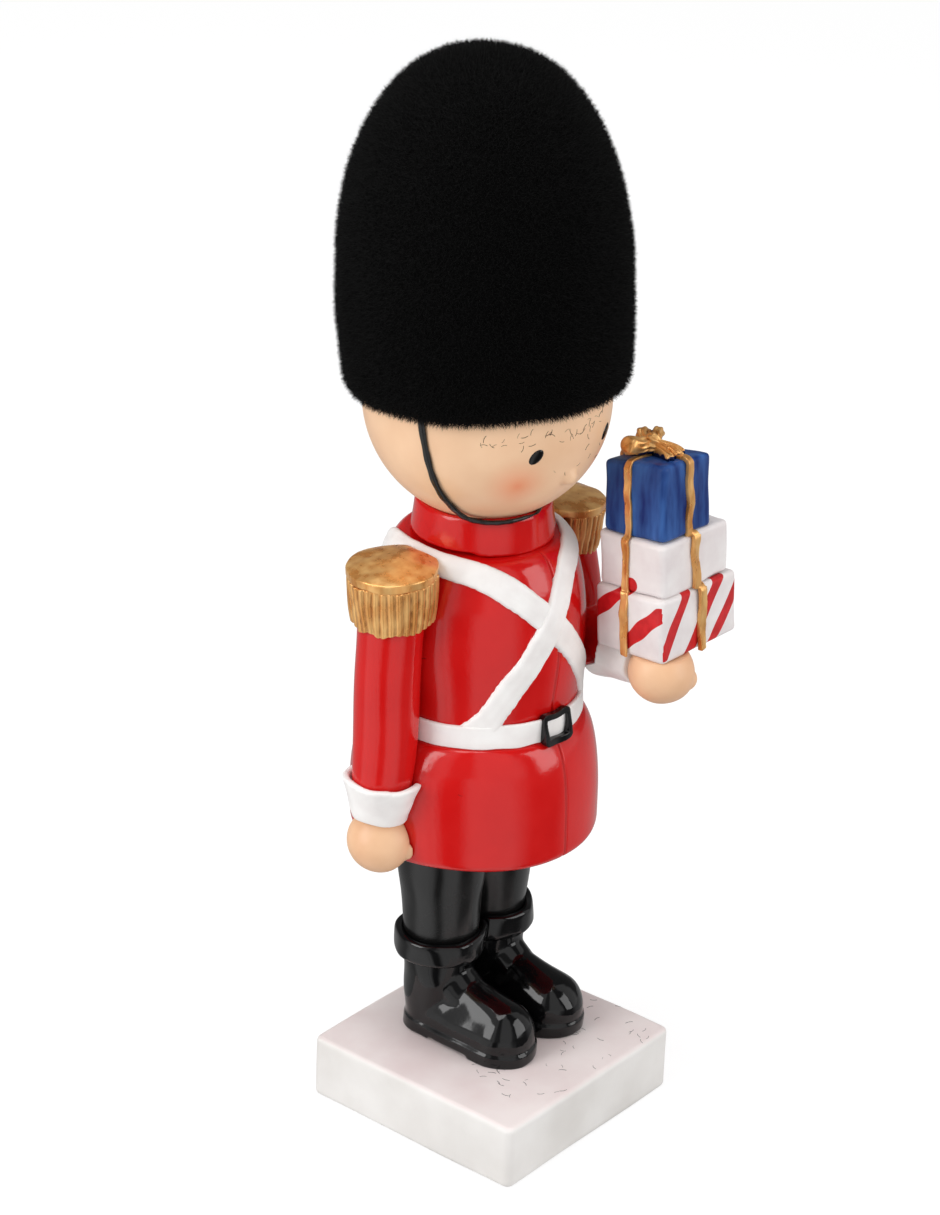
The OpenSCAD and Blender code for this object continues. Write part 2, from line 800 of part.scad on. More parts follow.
module fringe(side) {
    fringe_r = cap_r - cord_r;
    color("darkgoldenrod") at_body() difference() {
        at_epaulette(side) translate([0, 0, -fringe_len]) linear_extrude(fringe_len) difference() {
            union() {
                circle(fringe_r);
                for (i = [0 : cord_count - 1]) {
                    rotate(i * 360 / cord_count) translate([fringe_r, 0]) circle(cord_r, $fn = 24);
                }
            }
            circle(sleeve_r + fringe_gap);
        }
        translate([0, 0, hem_z]) cylinder(h = coat_h, r = chest_r);
        if (side == left) left_sleeve_form();
    }
}

module head() {
    color("peachpuff") difference() {
        at_head() sphere(head_r, $fn = 96);
        neck_peg_hole();
    }
}

// Points a child out of the head at an angle round from the face's middle and an angle down
module on_face(round, down) {
    rotate(round) rotate([90 + down, 0, 0]) children();
}

module nose() {
    color("peachpuff") at_head() difference() {
        on_face(0, nose_drop) translate([0, 0, head_r - nose_sink]) sphere(nose_r);
        sphere(head_r, $fn = 240);
    }
}

module eye(side) {
    color("black") at_head() difference() {
        intersection() {
            on_face(side * eye_angle, eye_drop) linear_extrude(2 * head_r) {
                for (y = [-1, 1]) translate([0, y * (eye_h - eye_w) / 2]) circle(eye_w / 2);
                square([eye_w, eye_h - eye_w], center = true);
            }
            sphere(head_r + eye_t, $fn = 96);
        }
        sphere(head_r, $fn = 96);
    }
}

// A slice of a ball that is a little larger than the head
module chin_hoop() {
    intersection() {
        sphere(head_r + chin_t, $fn = 96);
        translate([0, -chin_fwd, 0]) rotate([-chin_lean, 0, 0]) cube([far, chin_w, far], center = true);
    }
}

module chin_strap() {
    color("black") difference() {
        at_head() difference() {
            chin_hoop();
            sphere(head_r, $fn = 96);
        }
        at_hat() hat_form(0);
    }
}

// The hat as a turned solid, drawn in all round by a skin
module hat_form(skin) {
    low = rim_rise + skin;
    crown = rim_rise + hat_h - skin;
    wide = hat_r - skin;
    edge = wide - rim_taper;
    bulge = rim_rise + bulge_rise;
    rotate_extrude() polygon(concat(
        [[0, low]],
        [for (i = [0 : 4]) [
            edge - rim_round + rim_round * sin(i * 90 / 4), low + rim_round - rim_round * cos(i * 90 / 4)]],
        [for (i = [1 : 4]) let (t = i / 4) [
            edge + rim_taper * sin(t * 90), low + rim_round + (bulge - low - rim_round) * t]],
        [for (i = [1 : 2 * arc_steps]) let (t = sin(i * 90 / (2 * arc_steps))) [
            wide * pow(max(0, 1 - pow(t, crown_power)), 1 / crown_power), bulge + (crown - bulge) * t]]));
}

module hat_core() {
    color("#202020") at_head() difference() {
        rotate([-hat_tilt, 0, 0]) hat_form(flock_t);
        sphere(head_r, $fn = 96);
    }
}

module hat_flock() {
    color("black") at_head() difference() {
        rotate([-hat_tilt, 0, 0]) difference() {
            hat_form(0);
            hat_form(flock_t);
        }
        sphere(head_r, $fn = 96);
    }
}

module gift_form(at, size) {
    at_stack() translate(at) round_block(size, gift_round, gift_round * gift_edge);
}

// The room that the bottom box takes on the hand
module gift_room() {
    at_stack() cube(gift_low);
}

module gift_pin_form(play) {
    at_body() translate(left_hand_at + [0, 0, hand_r - palm_flat - gift_pin_depth - play])
        cylinder(h = 2 * (gift_pin_depth + play), r = gift_pin_r + play);
}

module gift_pin() {
    color("silver") gift_pin_form(0);
}

module gift_bottom() {
    color("white") difference() {
        gift_form([0, 0, 0], gift_low);
        gift_pin_form(peg_play);
    }
}

module gift_middle() {
    color("snow") gift_form(mid_at, gift_mid);
}

module gift_upper() {
    color("royalblue") gift_form(top_at, gift_top);
}

// Upright section of one box's ribbon, cut away where the next box stands
module ribbon_section(w, h, t, next_from, next_w) {
    edge_r = gift_round * gift_edge;
    difference() {
        translate([w / 2, t / 2]) round_rect(w + 2 * t, 2 * h + t, edge_r + t);
        translate([w / 2, 0]) round_rect(w, 2 * h, edge_r);
        translate([-w, -2 * h]) square([3 * w, 2 * h]);
        if (next_w > 0) translate([next_from, h]) square([next_w, h]);
    }
}

// One box's ribbon from side to side, and one from front to back
module slice_across(at, size, t, next_from, next_w) {
    at_stack() translate([at.x, at.y + size.y * ribbon_share + ribbon_w / 2, at.z]) rotate([90, 0, 0])
        linear_extrude(ribbon_w) ribbon_section(size.x, size.z, t, next_from, next_w);
}

module slice_along(at, size, share, t, next_from, next_w) {
    at_stack() translate([at.x + size.x * share - ribbon_w / 2, at.y, at.z]) rotate([90, 0, 90])
        linear_extrude(ribbon_w) ribbon_section(size.y, size.z, t, next_from, next_w);
}

module ribbon_across_form() {
    slice_across([0, 0, 0], gift_low, ribbon_t, gift_step.x, gift_mid.x);
    slice_across(mid_at, gift_mid, ribbon_t, gift_step.x, gift_top.x);
    slice_across(top_at, gift_top, ribbon_t, 0, 0);
}

module ribbon_across() {
    color("goldenrod") difference() {
        ribbon_across_form();
        at_body() cuff_form(left_wrist, forearm_dir, left_cuff_len);
    }
}

module ribbon_along() {
    color("goldenrod") difference() {
        union() {
            slice_along([0, 0, 0], gift_low, along_share[0], ribbon_over_t, gift_step.y, gift_mid.y);
            slice_along(mid_at, gift_mid, along_share[1], ribbon_over_t, gift_step.y, gift_top.y);
            slice_along(top_at, gift_top, along_share[2], ribbon_over_t, 0, 0);
        }
        ribbon_across_form();
    }
}

// A bow loop: a full round end drawn in to the knot
module bow_loop(turn, end_r, aside) {
    hull($fn = 32) {
        rotate(turn) translate([loop_len - end_r / 2, aside, end_r]) sphere(end_r);
        translate([0, 0, knot_r * 0.8]) sphere(knot_r * 0.6);
    }
}

module above_bow() {
    at_stack() translate(bow_at) difference() {
        intersection() {
            children();
            cylinder(h = far, r = far);
        }
        translate([0, 0, knot_r]) sphere(knot_r);
    }
}

module bow_side_loop() {
    color("goldenrod") above_bow() bow_loop(side_loop_turn, loop_r, 0);
}

module bow_back_loop() {
    color("goldenrod") above_bow() {
        bow_loop(back_loop_turn, loop_r * back_flat, loop_r * 0.6);
        bow_loop(back_loop_turn, loop_r * back_flat, -loop_r * 0.6);
    }
}

module bow_knot() {
    color("goldenrod") at_stack() translate(bow_at) intersection() {
        translate([0, 0, knot_r]) sphere(knot_r);
        cylinder(h = far, r = far);
    }
}

module bow_tails() {
    color("goldenrod") above_bow() for (turn = [-20, -75]) {
        rotate(turn) hull($fn = 24) {
            translate([knot_r * 0.9, 0, knot_r * 0.6]) sphere(knot_r * 0.5);
            translate([loop_len * 0.8, 0, knot_r * 0.4]) sphere(knot_r * 0.4);
            translate([loop_len * 0.8, knot_r, knot_r * 0.4]) sphere(knot_r * 0.4);
        }
    }
}

plinth();
sole(right);  // right_sole
sole(left);  // left_sole
boot(right);  // right_boot
boot(left);  // left_boot
boot_band(right);  // right_boot_band
boot_band(left);  // left_boot_band
leg(right);  // right_leg
leg(left);  // left_leg
leg_pin(right);  // right_leg_pin
leg_pin(left);  // left_leg_pin
coat();
collar();
crossbelt_under();
crossbelt_over();
waist_belt();
buckle();
right_sleeve();
left_sleeve();
arm_peg(right_shoulder, right);  // right_arm_peg
arm_peg(left_shoulder, left);  // left_arm_peg
right_cuff();
left_cuff();
right_hand();
left_hand();
epaulette(right);  // right_epaulette
epaulette(left);  // left_epaulette
fringe(right);  // right_fringe
fringe(left);  // left_fringe
neck_peg();
head();
nose();
eye(right);  // right_eye
eye(left);  // left_eye
chin_strap();
hat_core();
hat_flock();
gift_pin();
gift_bottom();
gift_middle();
gift_upper();
ribbon_across();
ribbon_along();
bow_side_loop();
bow_back_loop();
bow_knot();
bow_tails();
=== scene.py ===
import math

import bmesh
import bpy
import numpy as np
from mathutils import Matrix, Vector


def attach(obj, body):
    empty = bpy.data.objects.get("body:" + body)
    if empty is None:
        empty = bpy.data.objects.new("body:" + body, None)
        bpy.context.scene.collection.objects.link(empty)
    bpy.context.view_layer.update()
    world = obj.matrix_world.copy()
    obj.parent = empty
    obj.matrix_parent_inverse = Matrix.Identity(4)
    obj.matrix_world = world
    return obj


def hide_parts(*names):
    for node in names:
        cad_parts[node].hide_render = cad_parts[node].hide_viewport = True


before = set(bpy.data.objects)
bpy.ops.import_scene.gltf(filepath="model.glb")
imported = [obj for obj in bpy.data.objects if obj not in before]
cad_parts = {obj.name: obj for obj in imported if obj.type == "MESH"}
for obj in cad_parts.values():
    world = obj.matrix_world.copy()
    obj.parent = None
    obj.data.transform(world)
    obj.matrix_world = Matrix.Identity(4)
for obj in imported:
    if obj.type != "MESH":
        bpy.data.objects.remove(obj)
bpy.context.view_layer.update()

# Plinth: a square block of cast resin under the figure, painted white.
# It came out of a soft mould, so its faces are never quite flat and its edges are rubbed round.
MM = 0.001


def drift(points, span, seed):
    """Smooth offsets for points in millimetres, wandering over about span millimetres."""
    draw = np.random.default_rng(seed)
    moves = np.zeros_like(points)
    for axis in range(3):
        for _ in range(6):
            wave = draw.normal(size=3)
            wave *= 2 * math.pi / (span * draw.uniform(0.8, 1.8) * np.linalg.norm(wave))
            moves[:, axis] += np.sin(points @ wave + draw.uniform(0, 2 * math.pi))
    return moves / 6 ** 0.5


def points_of(piece):
    """A piece's points, in millimetres."""
    flat = np.empty(len(piece.data.vertices) * 3)
    piece.data.vertices.foreach_get("co", flat)
    return flat.reshape(-1, 3) / MM


def put_points(piece, points):
    """Moves a piece's points to places given in millimetres."""
    piece.data.vertices.foreach_set("co", (points * MM).ravel())
    piece.data.update()


def link_piece(name, data):
    piece = bpy.data.objects.new(name, data)
    bpy.context.scene.collection.objects.link(piece)
    return piece


def settle(piece):
    """Turns a piece with modifiers into a plain smooth mesh."""
    bpy.context.view_layer.update()
    made = bpy.data.meshes.new_from_object(piece.evaluated_get(bpy.context.evaluated_depsgraph_get()))
    made.name = piece.name
    piece.modifiers.clear()
    piece.data = made
    made.shade_smooth()


def cast_copy(name, *nodes, grain, rubbed, sway, span, seed):
    """A cast of some solids: one skin with its edges rubbed round and its faces a little uneven."""
    shape = bmesh.new()
    for node in nodes:
        shape.from_mesh(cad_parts[node].data)
    bmesh.ops.remove_doubles(shape, verts=shape.verts, dist=1e-6)
    mesh = bpy.data.meshes.new(name)
    shape.to_mesh(mesh)
    shape.free()
    piece = link_piece(name, mesh)
    skin = piece.modifiers.new("skin", "REMESH")
    skin.mode = "VOXEL"
    skin.voxel_size = grain * MM
    rub = piece.modifiers.new("rub", "SMOOTH")
    rub.factor = 0.5
    rub.iterations = rubbed
    settle(piece)
    points = points_of(piece)
    points += sway * drift(points, span, seed)
    points[:, 2] = points[:, 2].clip(0)
    put_points(piece, points)
    return piece


def tone(red, green, blue):
    """A colour as it looks on a screen, made linear."""
    linear = [((c / 255 + 0.055) / 1.055) ** 2.4 if c > 10 else c / 255 / 12.92 for c in (red, green, blue)]
    return (*linear, 1.0)


def add_node(tree, kind, inputs=None, **settings):
    """A new node with its settings, each input given a plain value or another node's output."""
    node = tree.nodes.new(kind)
    for key, value in settings.items():
        setattr(node, key, value)
    for key, value in (inputs or {}).items():
        if isinstance(value, bpy.types.NodeSocket):
            tree.links.new(value, node.inputs[key])
        else:
            node.inputs[key].default_value = value
    return node


def combined(tree, kind, a, b):
    """Two numbers put together by one Math node."""
    return add_node(tree, "ShaderNodeMath", {0: a, 1: b}, operation=kind).outputs[0]


class Finish:
    """A material under construction: its nodes, and the few steps that finishes share."""

    def __init__(self, name, rough, gloss=0.5, metal=0.0):
        self.material = bpy.data.materials.new(name)
        self.material.use_nodes = True
        self.tree = self.material.node_tree
        self.shader = self.tree.nodes["Principled BSDF"]
        for key, value in (("Roughness", rough), ("Specular IOR Level", gloss), ("Metallic", metal)):
            self.shader.inputs[key].default_value = value
        self.place = self.add("TexCoord").outputs["Object"]

    def add(self, kind, inputs=None, **settings):
        return add_node(self.tree, "ShaderNode" + kind, inputs, **settings)

    def join(self, out, key):
        self.tree.links.new(out, self.shader.inputs[key])

    def noise(self, size, detail=2.0, place=None):
        given = {"Vector": place or self.place, "Scale": 1 / (size * MM), "Detail": detail}
        return self.add("TexNoise", given).outputs["Fac"]

    def spread(self, value, low, high, to_low=0.0, to_high=1.0):
        """A value between low and high, stretched to another range."""
        given = {"Value": value, "From Min": low, "From Max": high, "To Min": to_low, "To Max": to_high}
        return self.add("MapRange", given).outputs["Result"]

    def blend(self, share, low, high):
        return self.add("Mix", {0: share, 6: low, 7: high}, data_type="RGBA").outputs[2]

    def mottled(self, share, thin, thick, low=0.35):
        """Two tones in soft patches; a lower low makes the patches softer."""
        return self.blend(self.spread(share, low, 1 - low), thin, thick)

    def drawn_up(self, share):
        """The place with its height pressed to a share, so that a noise turns into upright brush strokes."""
        return self.add("Mapping", {"Vector": self.place, "Scale": (1.0, 1.0, share)}).outputs["Vector"]

    def stored(self, name):
        return self.add("Attribute", attribute_name=name).outputs["Fac"]

    def height(self):
        return self.add("SeparateXYZ", {0: self.place}).outputs["Z"]

    def near(self, spot):
        """Distance in metres from a spot given in millimetres."""
        given = {0: self.place, 1: [c * MM for c in spot]}
        return self.add("VectorMath", given, operation="DISTANCE").outputs["Value"]

    def colour(self, value):
        self.join(value, "Base Color")

    def uneven_gloss(self, share, low, high):
        self.join(self.spread(share, 0.3, 0.7, low, high), "Roughness")

    def relief(self, value, strength, depth):
        bump = self.add("Bump", {"Height": value, "Strength": strength, "Distance": depth * MM})
        self.join(bump.outputs["Normal"], "Normal")


def brushed_paint(name, thin, thick, rough, patch, peel, depth, gloss=0.5):
    """Paint put on by brush: thinner and thicker patches, and a fine orange peel that catches the light."""
    finish = Finish(name, rough, gloss)
    patches = finish.noise(patch, 3.0)
    finish.colour(finish.mottled(patches, thin, thick, 0.3))
    finish.uneven_gloss(patches, rough * 0.8, rough * 1.25)
    finish.relief(finish.noise(peel), 0.35, depth)
    return finish


def paint_mesh(mesh, finish):
    mesh.materials.clear()
    mesh.materials.append(finish.material)


def place_piece(piece, finish, slot, *nodes):
    """Paints a piece, fixes it to the figure and lets it stand for the solids it covers."""
    paint_mesh(piece.data, finish)
    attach(piece, "root")
    if nodes:
        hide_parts(*nodes)


def cast_piece(name, nodes, finish, slot, **how):
    """A cast copy of some solids, put in their place."""
    place_piece(cast_copy(name, *nodes, **how), finish, slot, *nodes)


plinth_top, edge_blend = 12.4, 0.5
white = Finish("plinth_white", rough=0.42, gloss=0.4)
stain = white.noise(14, 4.0)
# The top is painted pinker than the sides: painted light, the red coat's glow bounced down on to the white top.
red_bounce_share = white.spread(white.height(), (plinth_top - edge_blend) * MM, plinth_top * MM)
side_paint = white.mottled(stain, tone(224, 220, 216), tone(236, 233, 230))
top_paint_red_bounce = white.mottled(stain, tone(226, 211, 210), tone(235, 226, 224))
white.colour(white.blend(red_bounce_share, side_paint, top_paint_red_bounce))
white.uneven_gloss(stain, 0.36, 0.5)
white.relief(white.noise(1.6, 3.0), 0.3, 0.05)
cast_piece(
    "plinth_block", ["plinth"], white, "white", grain=0.4, rubbed=1, sway=0.08, span=20, seed=3)

# Boots: cast resin boots with a welted sole, and the band of leather turned down round each boot's top.
# They are dipped in a thick black gloss that rounds every edge and pools in the creases.
boot_black = brushed_paint(
    "boot_black", tone(6, 6, 7), tone(12, 12, 13), rough=0.09, patch=5.0, peel=2.2, depth=0.06, gloss=0.42)
for side in ("right", "left"):
    cast_piece(
        side + "_boot_cast", [side + "_boot", side + "_sole"], boot_black, "black_gloss",
        grain=0.26, rubbed=11, sway=0.16, span=8, seed=12)
    cast_piece(
        side + "_boot_turned_band", [side + "_boot_band"], boot_black, "black_gloss",
        grain=0.22, rubbed=15, sway=0.17, span=7, seed=13)

# Legs: the trouser legs, cast with the figure, painted a satin charcoal that is duller than the boots.
# A steel pin runs through each, from the plinth up into the coat.
trouser_charcoal = brushed_paint(
    "trouser_charcoal", tone(12, 12, 12), tone(19, 19, 19), rough=0.24, patch=6.0, peel=1.0, depth=0.02)
pin_steel = Finish("pin_steel", rough=0.3, metal=1.0)
drawn = pin_steel.noise(0.4)
pin_steel.colour(pin_steel.blend(drawn, tone(150, 152, 155), tone(190, 192, 195)))
pin_steel.uneven_gloss(drawn, 0.25, 0.4)


def finish_inner(node, finish):
    """A pin or peg inside the figure keeps its own solid."""
    paint_mesh(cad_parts[node].data, finish)


for side in ("right", "left"):
    cast_piece(
        side + "_trouser_leg", [side + "_leg"], trouser_charcoal, "trousers",
        grain=0.32, rubbed=4, sway=0.12, span=11, seed=21)
    finish_inner(side + "_leg_pin", pin_steel)

# Coat: one turned form from the wide skirt to the neck, with a shallow seam down its front.
# Glossy red paint over resin; the gloss runs in soft upright bands and shows a fine orange peel.
figure_at = np.array([3.0, 8.9, 0.0])
figure_turn = math.radians(-3.5)
hem_z, hem_round, skirt_r, skirt_z = 53.6, 1.8, 22.6, 61.0
belt_z, belt_top_z, waist_r = 76.8, 81.2, 18.2
chest_z, chest_r, collar_z, neck_r = 92.6, 19.0, 110.8, 13.4
seam_depth, seam_half, seam_from = 0.42, 0.24, 8
coat_sway, coat_span = 0.10, 16


def spun(a, b, angle):
    """A pair of coordinates after a turn."""
    c, s = math.cos(angle), math.sin(angle)
    return c * a - s * b, s * a + c * b


def upright(points):
    """From the upper body's own frame to the plinth's, in millimetres."""
    x, y, z = np.asarray(points, float).T
    return np.c_[(*spun(x, y, figure_turn), z)] + figure_at


def in_body(points):
    """The way back from upright."""
    x, y, z = (np.asarray(points, float) - figure_at).T
    return np.c_[(*spun(x, y, -figure_turn), z)]


def coat_radius(z):
    """The coat's outline: rounded hem, swelling skirt, straight waist, chest and shoulder."""
    z = np.asarray(z, float)
    low = skirt_r - hem_round + hem_round * np.sqrt(np.clip(1 - ((hem_z + hem_round - z) / hem_round) ** 2, 0, 1))
    skirt = waist_r + (skirt_r - waist_r) * np.sqrt(np.clip(1 - ((z - skirt_z) / (belt_z - skirt_z)) ** 2, 0, 1))
    t = np.clip((z - belt_top_z) / (chest_z - belt_top_z), 0, 1)
    chest = waist_r + (chest_r - waist_r) * t * t * (3 - 2 * t)
    t = np.clip((z - chest_z) / (collar_z - chest_z), 0, 1)
    shoulder = neck_r + (chest_r - neck_r) * np.sqrt(1 - t * t)
    return np.select(
        [z < hem_z + hem_round, z < skirt_z, z < belt_z, z < belt_top_z, z < chest_z],
        [low, skirt_r, skirt, waist_r, chest], shoulder)


def ring_faces(rows, n):
    """Quads between rows of n points, each row closed round."""
    return [
        (i * n + j, i * n + (j + 1) % n, (i + 1) * n + (j + 1) % n, (i + 1) * n + j)
        for i in range(rows - 1) for j in range(n)]


def turned_piece(name, radii, heights, angles):
    """A closed turned form, from foot to top on its axis; gives the piece and its own points."""
    rings = [
        np.c_[r * np.cos(angles), r * np.sin(angles), np.full(len(angles), z)]
        for r, z in zip(radii, heights)]
    points = np.vstack(rings + [[[0, 0, heights[0]]], [[0, 0, heights[-1]]]])
    n = len(angles)
    faces = ring_faces(len(radii), n)
    last = (len(radii) - 1) * n
    for j in range(n):
        k = (j + 1) % n
        faces.append((len(points) - 2, k, j))
        faces.append((len(points) - 1, last + j, last + k))
    mesh = bpy.data.meshes.new(name)
    mesh.from_pydata([tuple(p) for p in points], [], faces)
    mesh.shade_smooth()
    return link_piece(name, mesh), points


def quarter(count):
    """Angles over a quarter turn."""
    return np.linspace(0, math.pi / 2, count)


# Fine steps where the seam runs, and at the hem, the belt and the shoulder.
angles = np.radians(np.sort(np.r_[np.arange(0, 360, 1.25), np.arange(-94, -86, 0.2) + 0.07]) % 360)
angles = np.unique(np.round(angles, 6))
heights = np.r_[
    hem_z + (1 - np.cos(quarter(9))) * hem_round, np.arange(hem_z + 2.4, belt_z - 2, 0.6),
    np.linspace(belt_z - 1.8, belt_z, 12), np.arange(belt_top_z, chest_z, 0.7),
    chest_z + (collar_z - chest_z) * np.sin(quarter(34))]
coat, own = turned_piece("coat_cast", coat_radius(heights), heights, angles)
front = (own[:, 1] < 0) & (np.hypot(own[:, 0], own[:, 1]) > seam_from)
own[:, 1] += np.where(front, seam_depth * np.exp(-(own[:, 0] / seam_half) ** 2), 0)
own += coat_sway * drift(own, coat_span, 31)
put_points(coat, upright(own))
coat_red = brushed_paint(
    "coat_red", tone(198, 12, 12), tone(206, 20, 18), rough=0.13, patch=9.0, peel=0.8, depth=0.06)
place_piece(coat, coat_red, "red", "coat")

# Collar: a standing collar cast on the coat's top, its upper edge rolled against the head.
# The same red gloss; the peg that carries the head passes through its middle.
peg_resin = Finish("peg_resin", rough=0.6, gloss=0.3)
peg_resin.colour(peg_resin.blend(peg_resin.noise(1.2, 3.0), tone(190, 170, 140), tone(210, 192, 165)))
cast_piece("collar_cast", ["collar"], coat_red, "red", grain=0.32, rubbed=6, sway=0.10, span=10, seed=41)
finish_inner("neck_peg", peg_resin)

# Belts: two crossed straps and a waist belt, low bands cast on the coat and painted white by hand.
# Their edges wander a little where the brush left the band.
strap_white = brushed_paint(
    "strap_white", tone(236, 232, 230), tone(246, 244, 242), rough=0.40, patch=4.0, peel=0.9, depth=0.04, gloss=0.4)
strap_half, strap_thick, strap_sunk, strap_low_z = 2.5, 0.75, 0.4, 76
edge_wander, wander_run = 0.35, 9
end_flare, flare_fade = 0.3, 8
crossing_at, crossing_spread = (-1.5, -19, 98.5), 18
# Each route: the solid it covers, how far it climbs over the other strap, and degrees round with heights.
strap_routes = {
    "crossed_strap_lower": ("crossbelt_under", 0.0, [
        (-38, 78.0), (-44, 80.4), (-52, 83.2), (-61, 86.6), (-71, 90.2), (-85.7, 95.8), (-99.8, 100.6), (-118, 105.6),
        (-138, 108.7), (-160, 109.8), (-180, 110.0)]),
    "crossed_strap_upper": ("crossbelt_over", 0.35, [
        (-141, 78.0), (-135, 80.6), (-130, 82.6), (-124, 85.6), (-117, 89.0), (-107, 93.7), (-98, 98.2), (-91, 101.3),
        (-82.8, 105.4), (-70, 108.2), (-48, 109.8), (-24, 110.1), (0, 110.1)])}


def unit(rows):
    return rows / np.linalg.norm(rows, axis=1)[:, None]


trace_z = np.r_[np.linspace(strap_low_z, chest_z, 120), chest_z + (collar_z - chest_z) * np.sin(quarter(300))]
trace = np.c_[coat_radius(trace_z), trace_z]
trace_out = unit(np.c_[np.gradient(trace[:, 1]), -np.gradient(trace[:, 0])])


def on_coat(points, lift):
    """Sets points on the coat's surface, each lifted off it by its own amount."""
    x, y, z = points.T
    spot = np.c_[np.hypot(x, y), z]
    nearest = ((spot[:, None, :] - trace[None]) ** 2).sum(2).argmin(1)
    put = trace[nearest] + trace_out[nearest] * np.asarray(lift)[:, None]
    turn = np.arctan2(y, x)
    return np.c_[put[:, 0] * np.cos(turn), put[:, 0] * np.sin(turn), put[:, 1]]


def smooth_line(knots, steps):
    """A curve through points, with even steps between each pair."""
    knots = np.asarray(knots, float)
    ends = np.vstack([2 * knots[0] - knots[1], knots, 2 * knots[-1] - knots[-2]])
    line = []
    for a, b, c, d in zip(ends, ends[1:], ends[2:], ends[3:]):
        bend, twist = 2 * a - 5 * b + 4 * c - d, 3 * b - a - 3 * c + d
        for t in np.linspace(0, 1, steps, endpoint=False):
            line.append(0.5 * (2 * b + (c - a) * t + bend * t ** 2 + twist * t ** 3))
    return np.vstack(line + [knots[-1]])


def closed_piece(name, points, faces, merged=0.0):
    """A smooth closed piece; points nearer than merged become one, and an open rim is then filled."""
    mesh = bpy.data.meshes.new(name)
    mesh.from_pydata(points, [], faces)
    shape = bmesh.new()
    shape.from_mesh(mesh)
    if merged:
        bmesh.ops.remove_doubles(shape, verts=shape.verts, dist=merged)
        bmesh.ops.contextual_create(shape, geom=[e for e in shape.edges if e.is_boundary])
    bmesh.ops.recalc_face_normals(shape, faces=shape.faces)
    shape.to_mesh(mesh)
    shape.free()
    mesh.shade_smooth()
    return link_piece(name, mesh)


def closed_band(name, sections):
    """A solid band from a row of closed sections, capped at both ends."""
    n, count = len(sections[0]), len(sections)
    ends = [tuple(range(n)), tuple((count - 1) * n + j for j in reversed(range(n)))]
    return closed_piece(name, [tuple(p * MM) for p in np.vstack(sections)], ends + ring_faces(count, n))


across_shares = np.r_[-1.0, -0.96, -0.88, np.linspace(-0.75, 0.75, 9), 0.88, 0.96, 1.0]
band_height = np.sqrt(1 - np.abs(across_shares) ** 8) + 0.05 * np.cos(across_shares * 9)
for band, (node, over, knots) in strap_routes.items():
    front = [(math.radians(a), z) for a, z in knots]
    turn = 2 * front[-1][0]
    route = front + [(turn - a, z) for a, z in reversed(front[:-1])]
    spots = np.array([[coat_radius(z) * math.cos(a), coat_radius(z) * math.sin(a), z] for a, z in route])
    line = smooth_line(spots, 9)
    line = on_coat(line, np.zeros(len(line)))
    way = unit(np.gradient(line, axis=0))
    out = on_coat(line, np.ones(len(line))) - line
    side_way = np.cross(out, way)
    wander = np.random.default_rng(51 if over else 52).normal(size=(2, len(line)))
    wander = [edge_wander * np.convolve(w, np.ones(wander_run) / wander_run, "same") for w in wander]
    rings = []
    for i, spot in enumerate(line):
        flare = 1 + end_flare * math.exp(-min(i, len(line) - 1 - i) / flare_fade)
        half = flare * np.where(across_shares < 0, strap_half + wander[0][i], strap_half + wander[1][i])
        flat = spot + side_way[i] * (across_shares * half)[:, None]
        crossing = over * math.exp(-(((spot - crossing_at) ** 2).sum()) / crossing_spread)
        top = on_coat(flat, strap_thick * band_height + crossing - 0.05)
        foot = on_coat(flat[::-1], np.full(len(flat), -strap_sunk))
        rings.append(upright(np.vstack([top, foot])))
    place_piece(closed_band(band, rings), strap_white, "straps", node)
cast_piece(
    "waist_belt_band", ["waist_belt"], strap_white, "straps", grain=0.21, rubbed=3, sway=0.14, span=7, seed=53)

# Buckle: a small upright frame cast on the belt's front, outlined in black gloss.
# The belt's white shows in its middle.
buckle_share = (0.94, 0.94, 0.87)
buckle = cast_copy("buckle_frame", "buckle", grain=0.1, rubbed=7, sway=0.12, span=4, seed=54)
points = points_of(buckle)
middle = points.mean(0)
put_points(buckle, middle + (points - middle) * buckle_share)
place_piece(buckle, boot_black, "black_gloss", "buckle")

# Sleeves: the hanging right arm and the bent left arm, cast apart and pegged to the coat's sides.
# The same red gloss as the coat.
wrist_out = np.array([-0.2406, -0.9650, 0.1045])
left_elbow, elbow_to_hand, wrist_to_hand = np.array([22.6, -3.6, 85.2]), 26.4, 5.0
left_hand_at = left_elbow + elbow_to_hand * wrist_out
under_flat, cuff_len, flat_gone = 0.28, 9.2, 16.0


def along_forearm(points):
    """How far points lie behind the left wrist, and how high over the forearm's middle line."""
    off = in_body(points) - left_hand_at
    behind = -off @ wrist_out
    return behind - wrist_to_hand, off[:, 2] + behind * wrist_out[2]


def flat_under(piece):
    """Presses the left forearm's underside up, as the mould left it, fading towards the elbow."""
    points = points_of(piece)
    behind, high = along_forearm(points)
    fade = under_flat * np.clip((flat_gone - behind) / (flat_gone - cuff_len), 0, 1)
    points[:, 2] -= fade * high.clip(None, 0)
    put_points(piece, points)


for side, seed in (("right", 61), ("left", 62)):
    sleeve = cast_copy(side + "_sleeve_cast", side + "_sleeve", grain=0.32, rubbed=6, sway=0.16, span=13, seed=seed)
    if side == "left":
        flat_under(sleeve)
    place_piece(sleeve, coat_red, "red", side + "_sleeve")
    finish_inner(side + "_arm_peg", peg_resin)

# Cuffs: flared white cups that the sleeves end in, with thick hand-painted rims.
# Cast with the arms; each holds the peg of its hand.


def normals_of(piece):
    flat = np.empty(len(piece.data.vertices) * 3)
    piece.data.vertices.foreach_get("normal", flat)
    return flat.reshape(-1, 3)


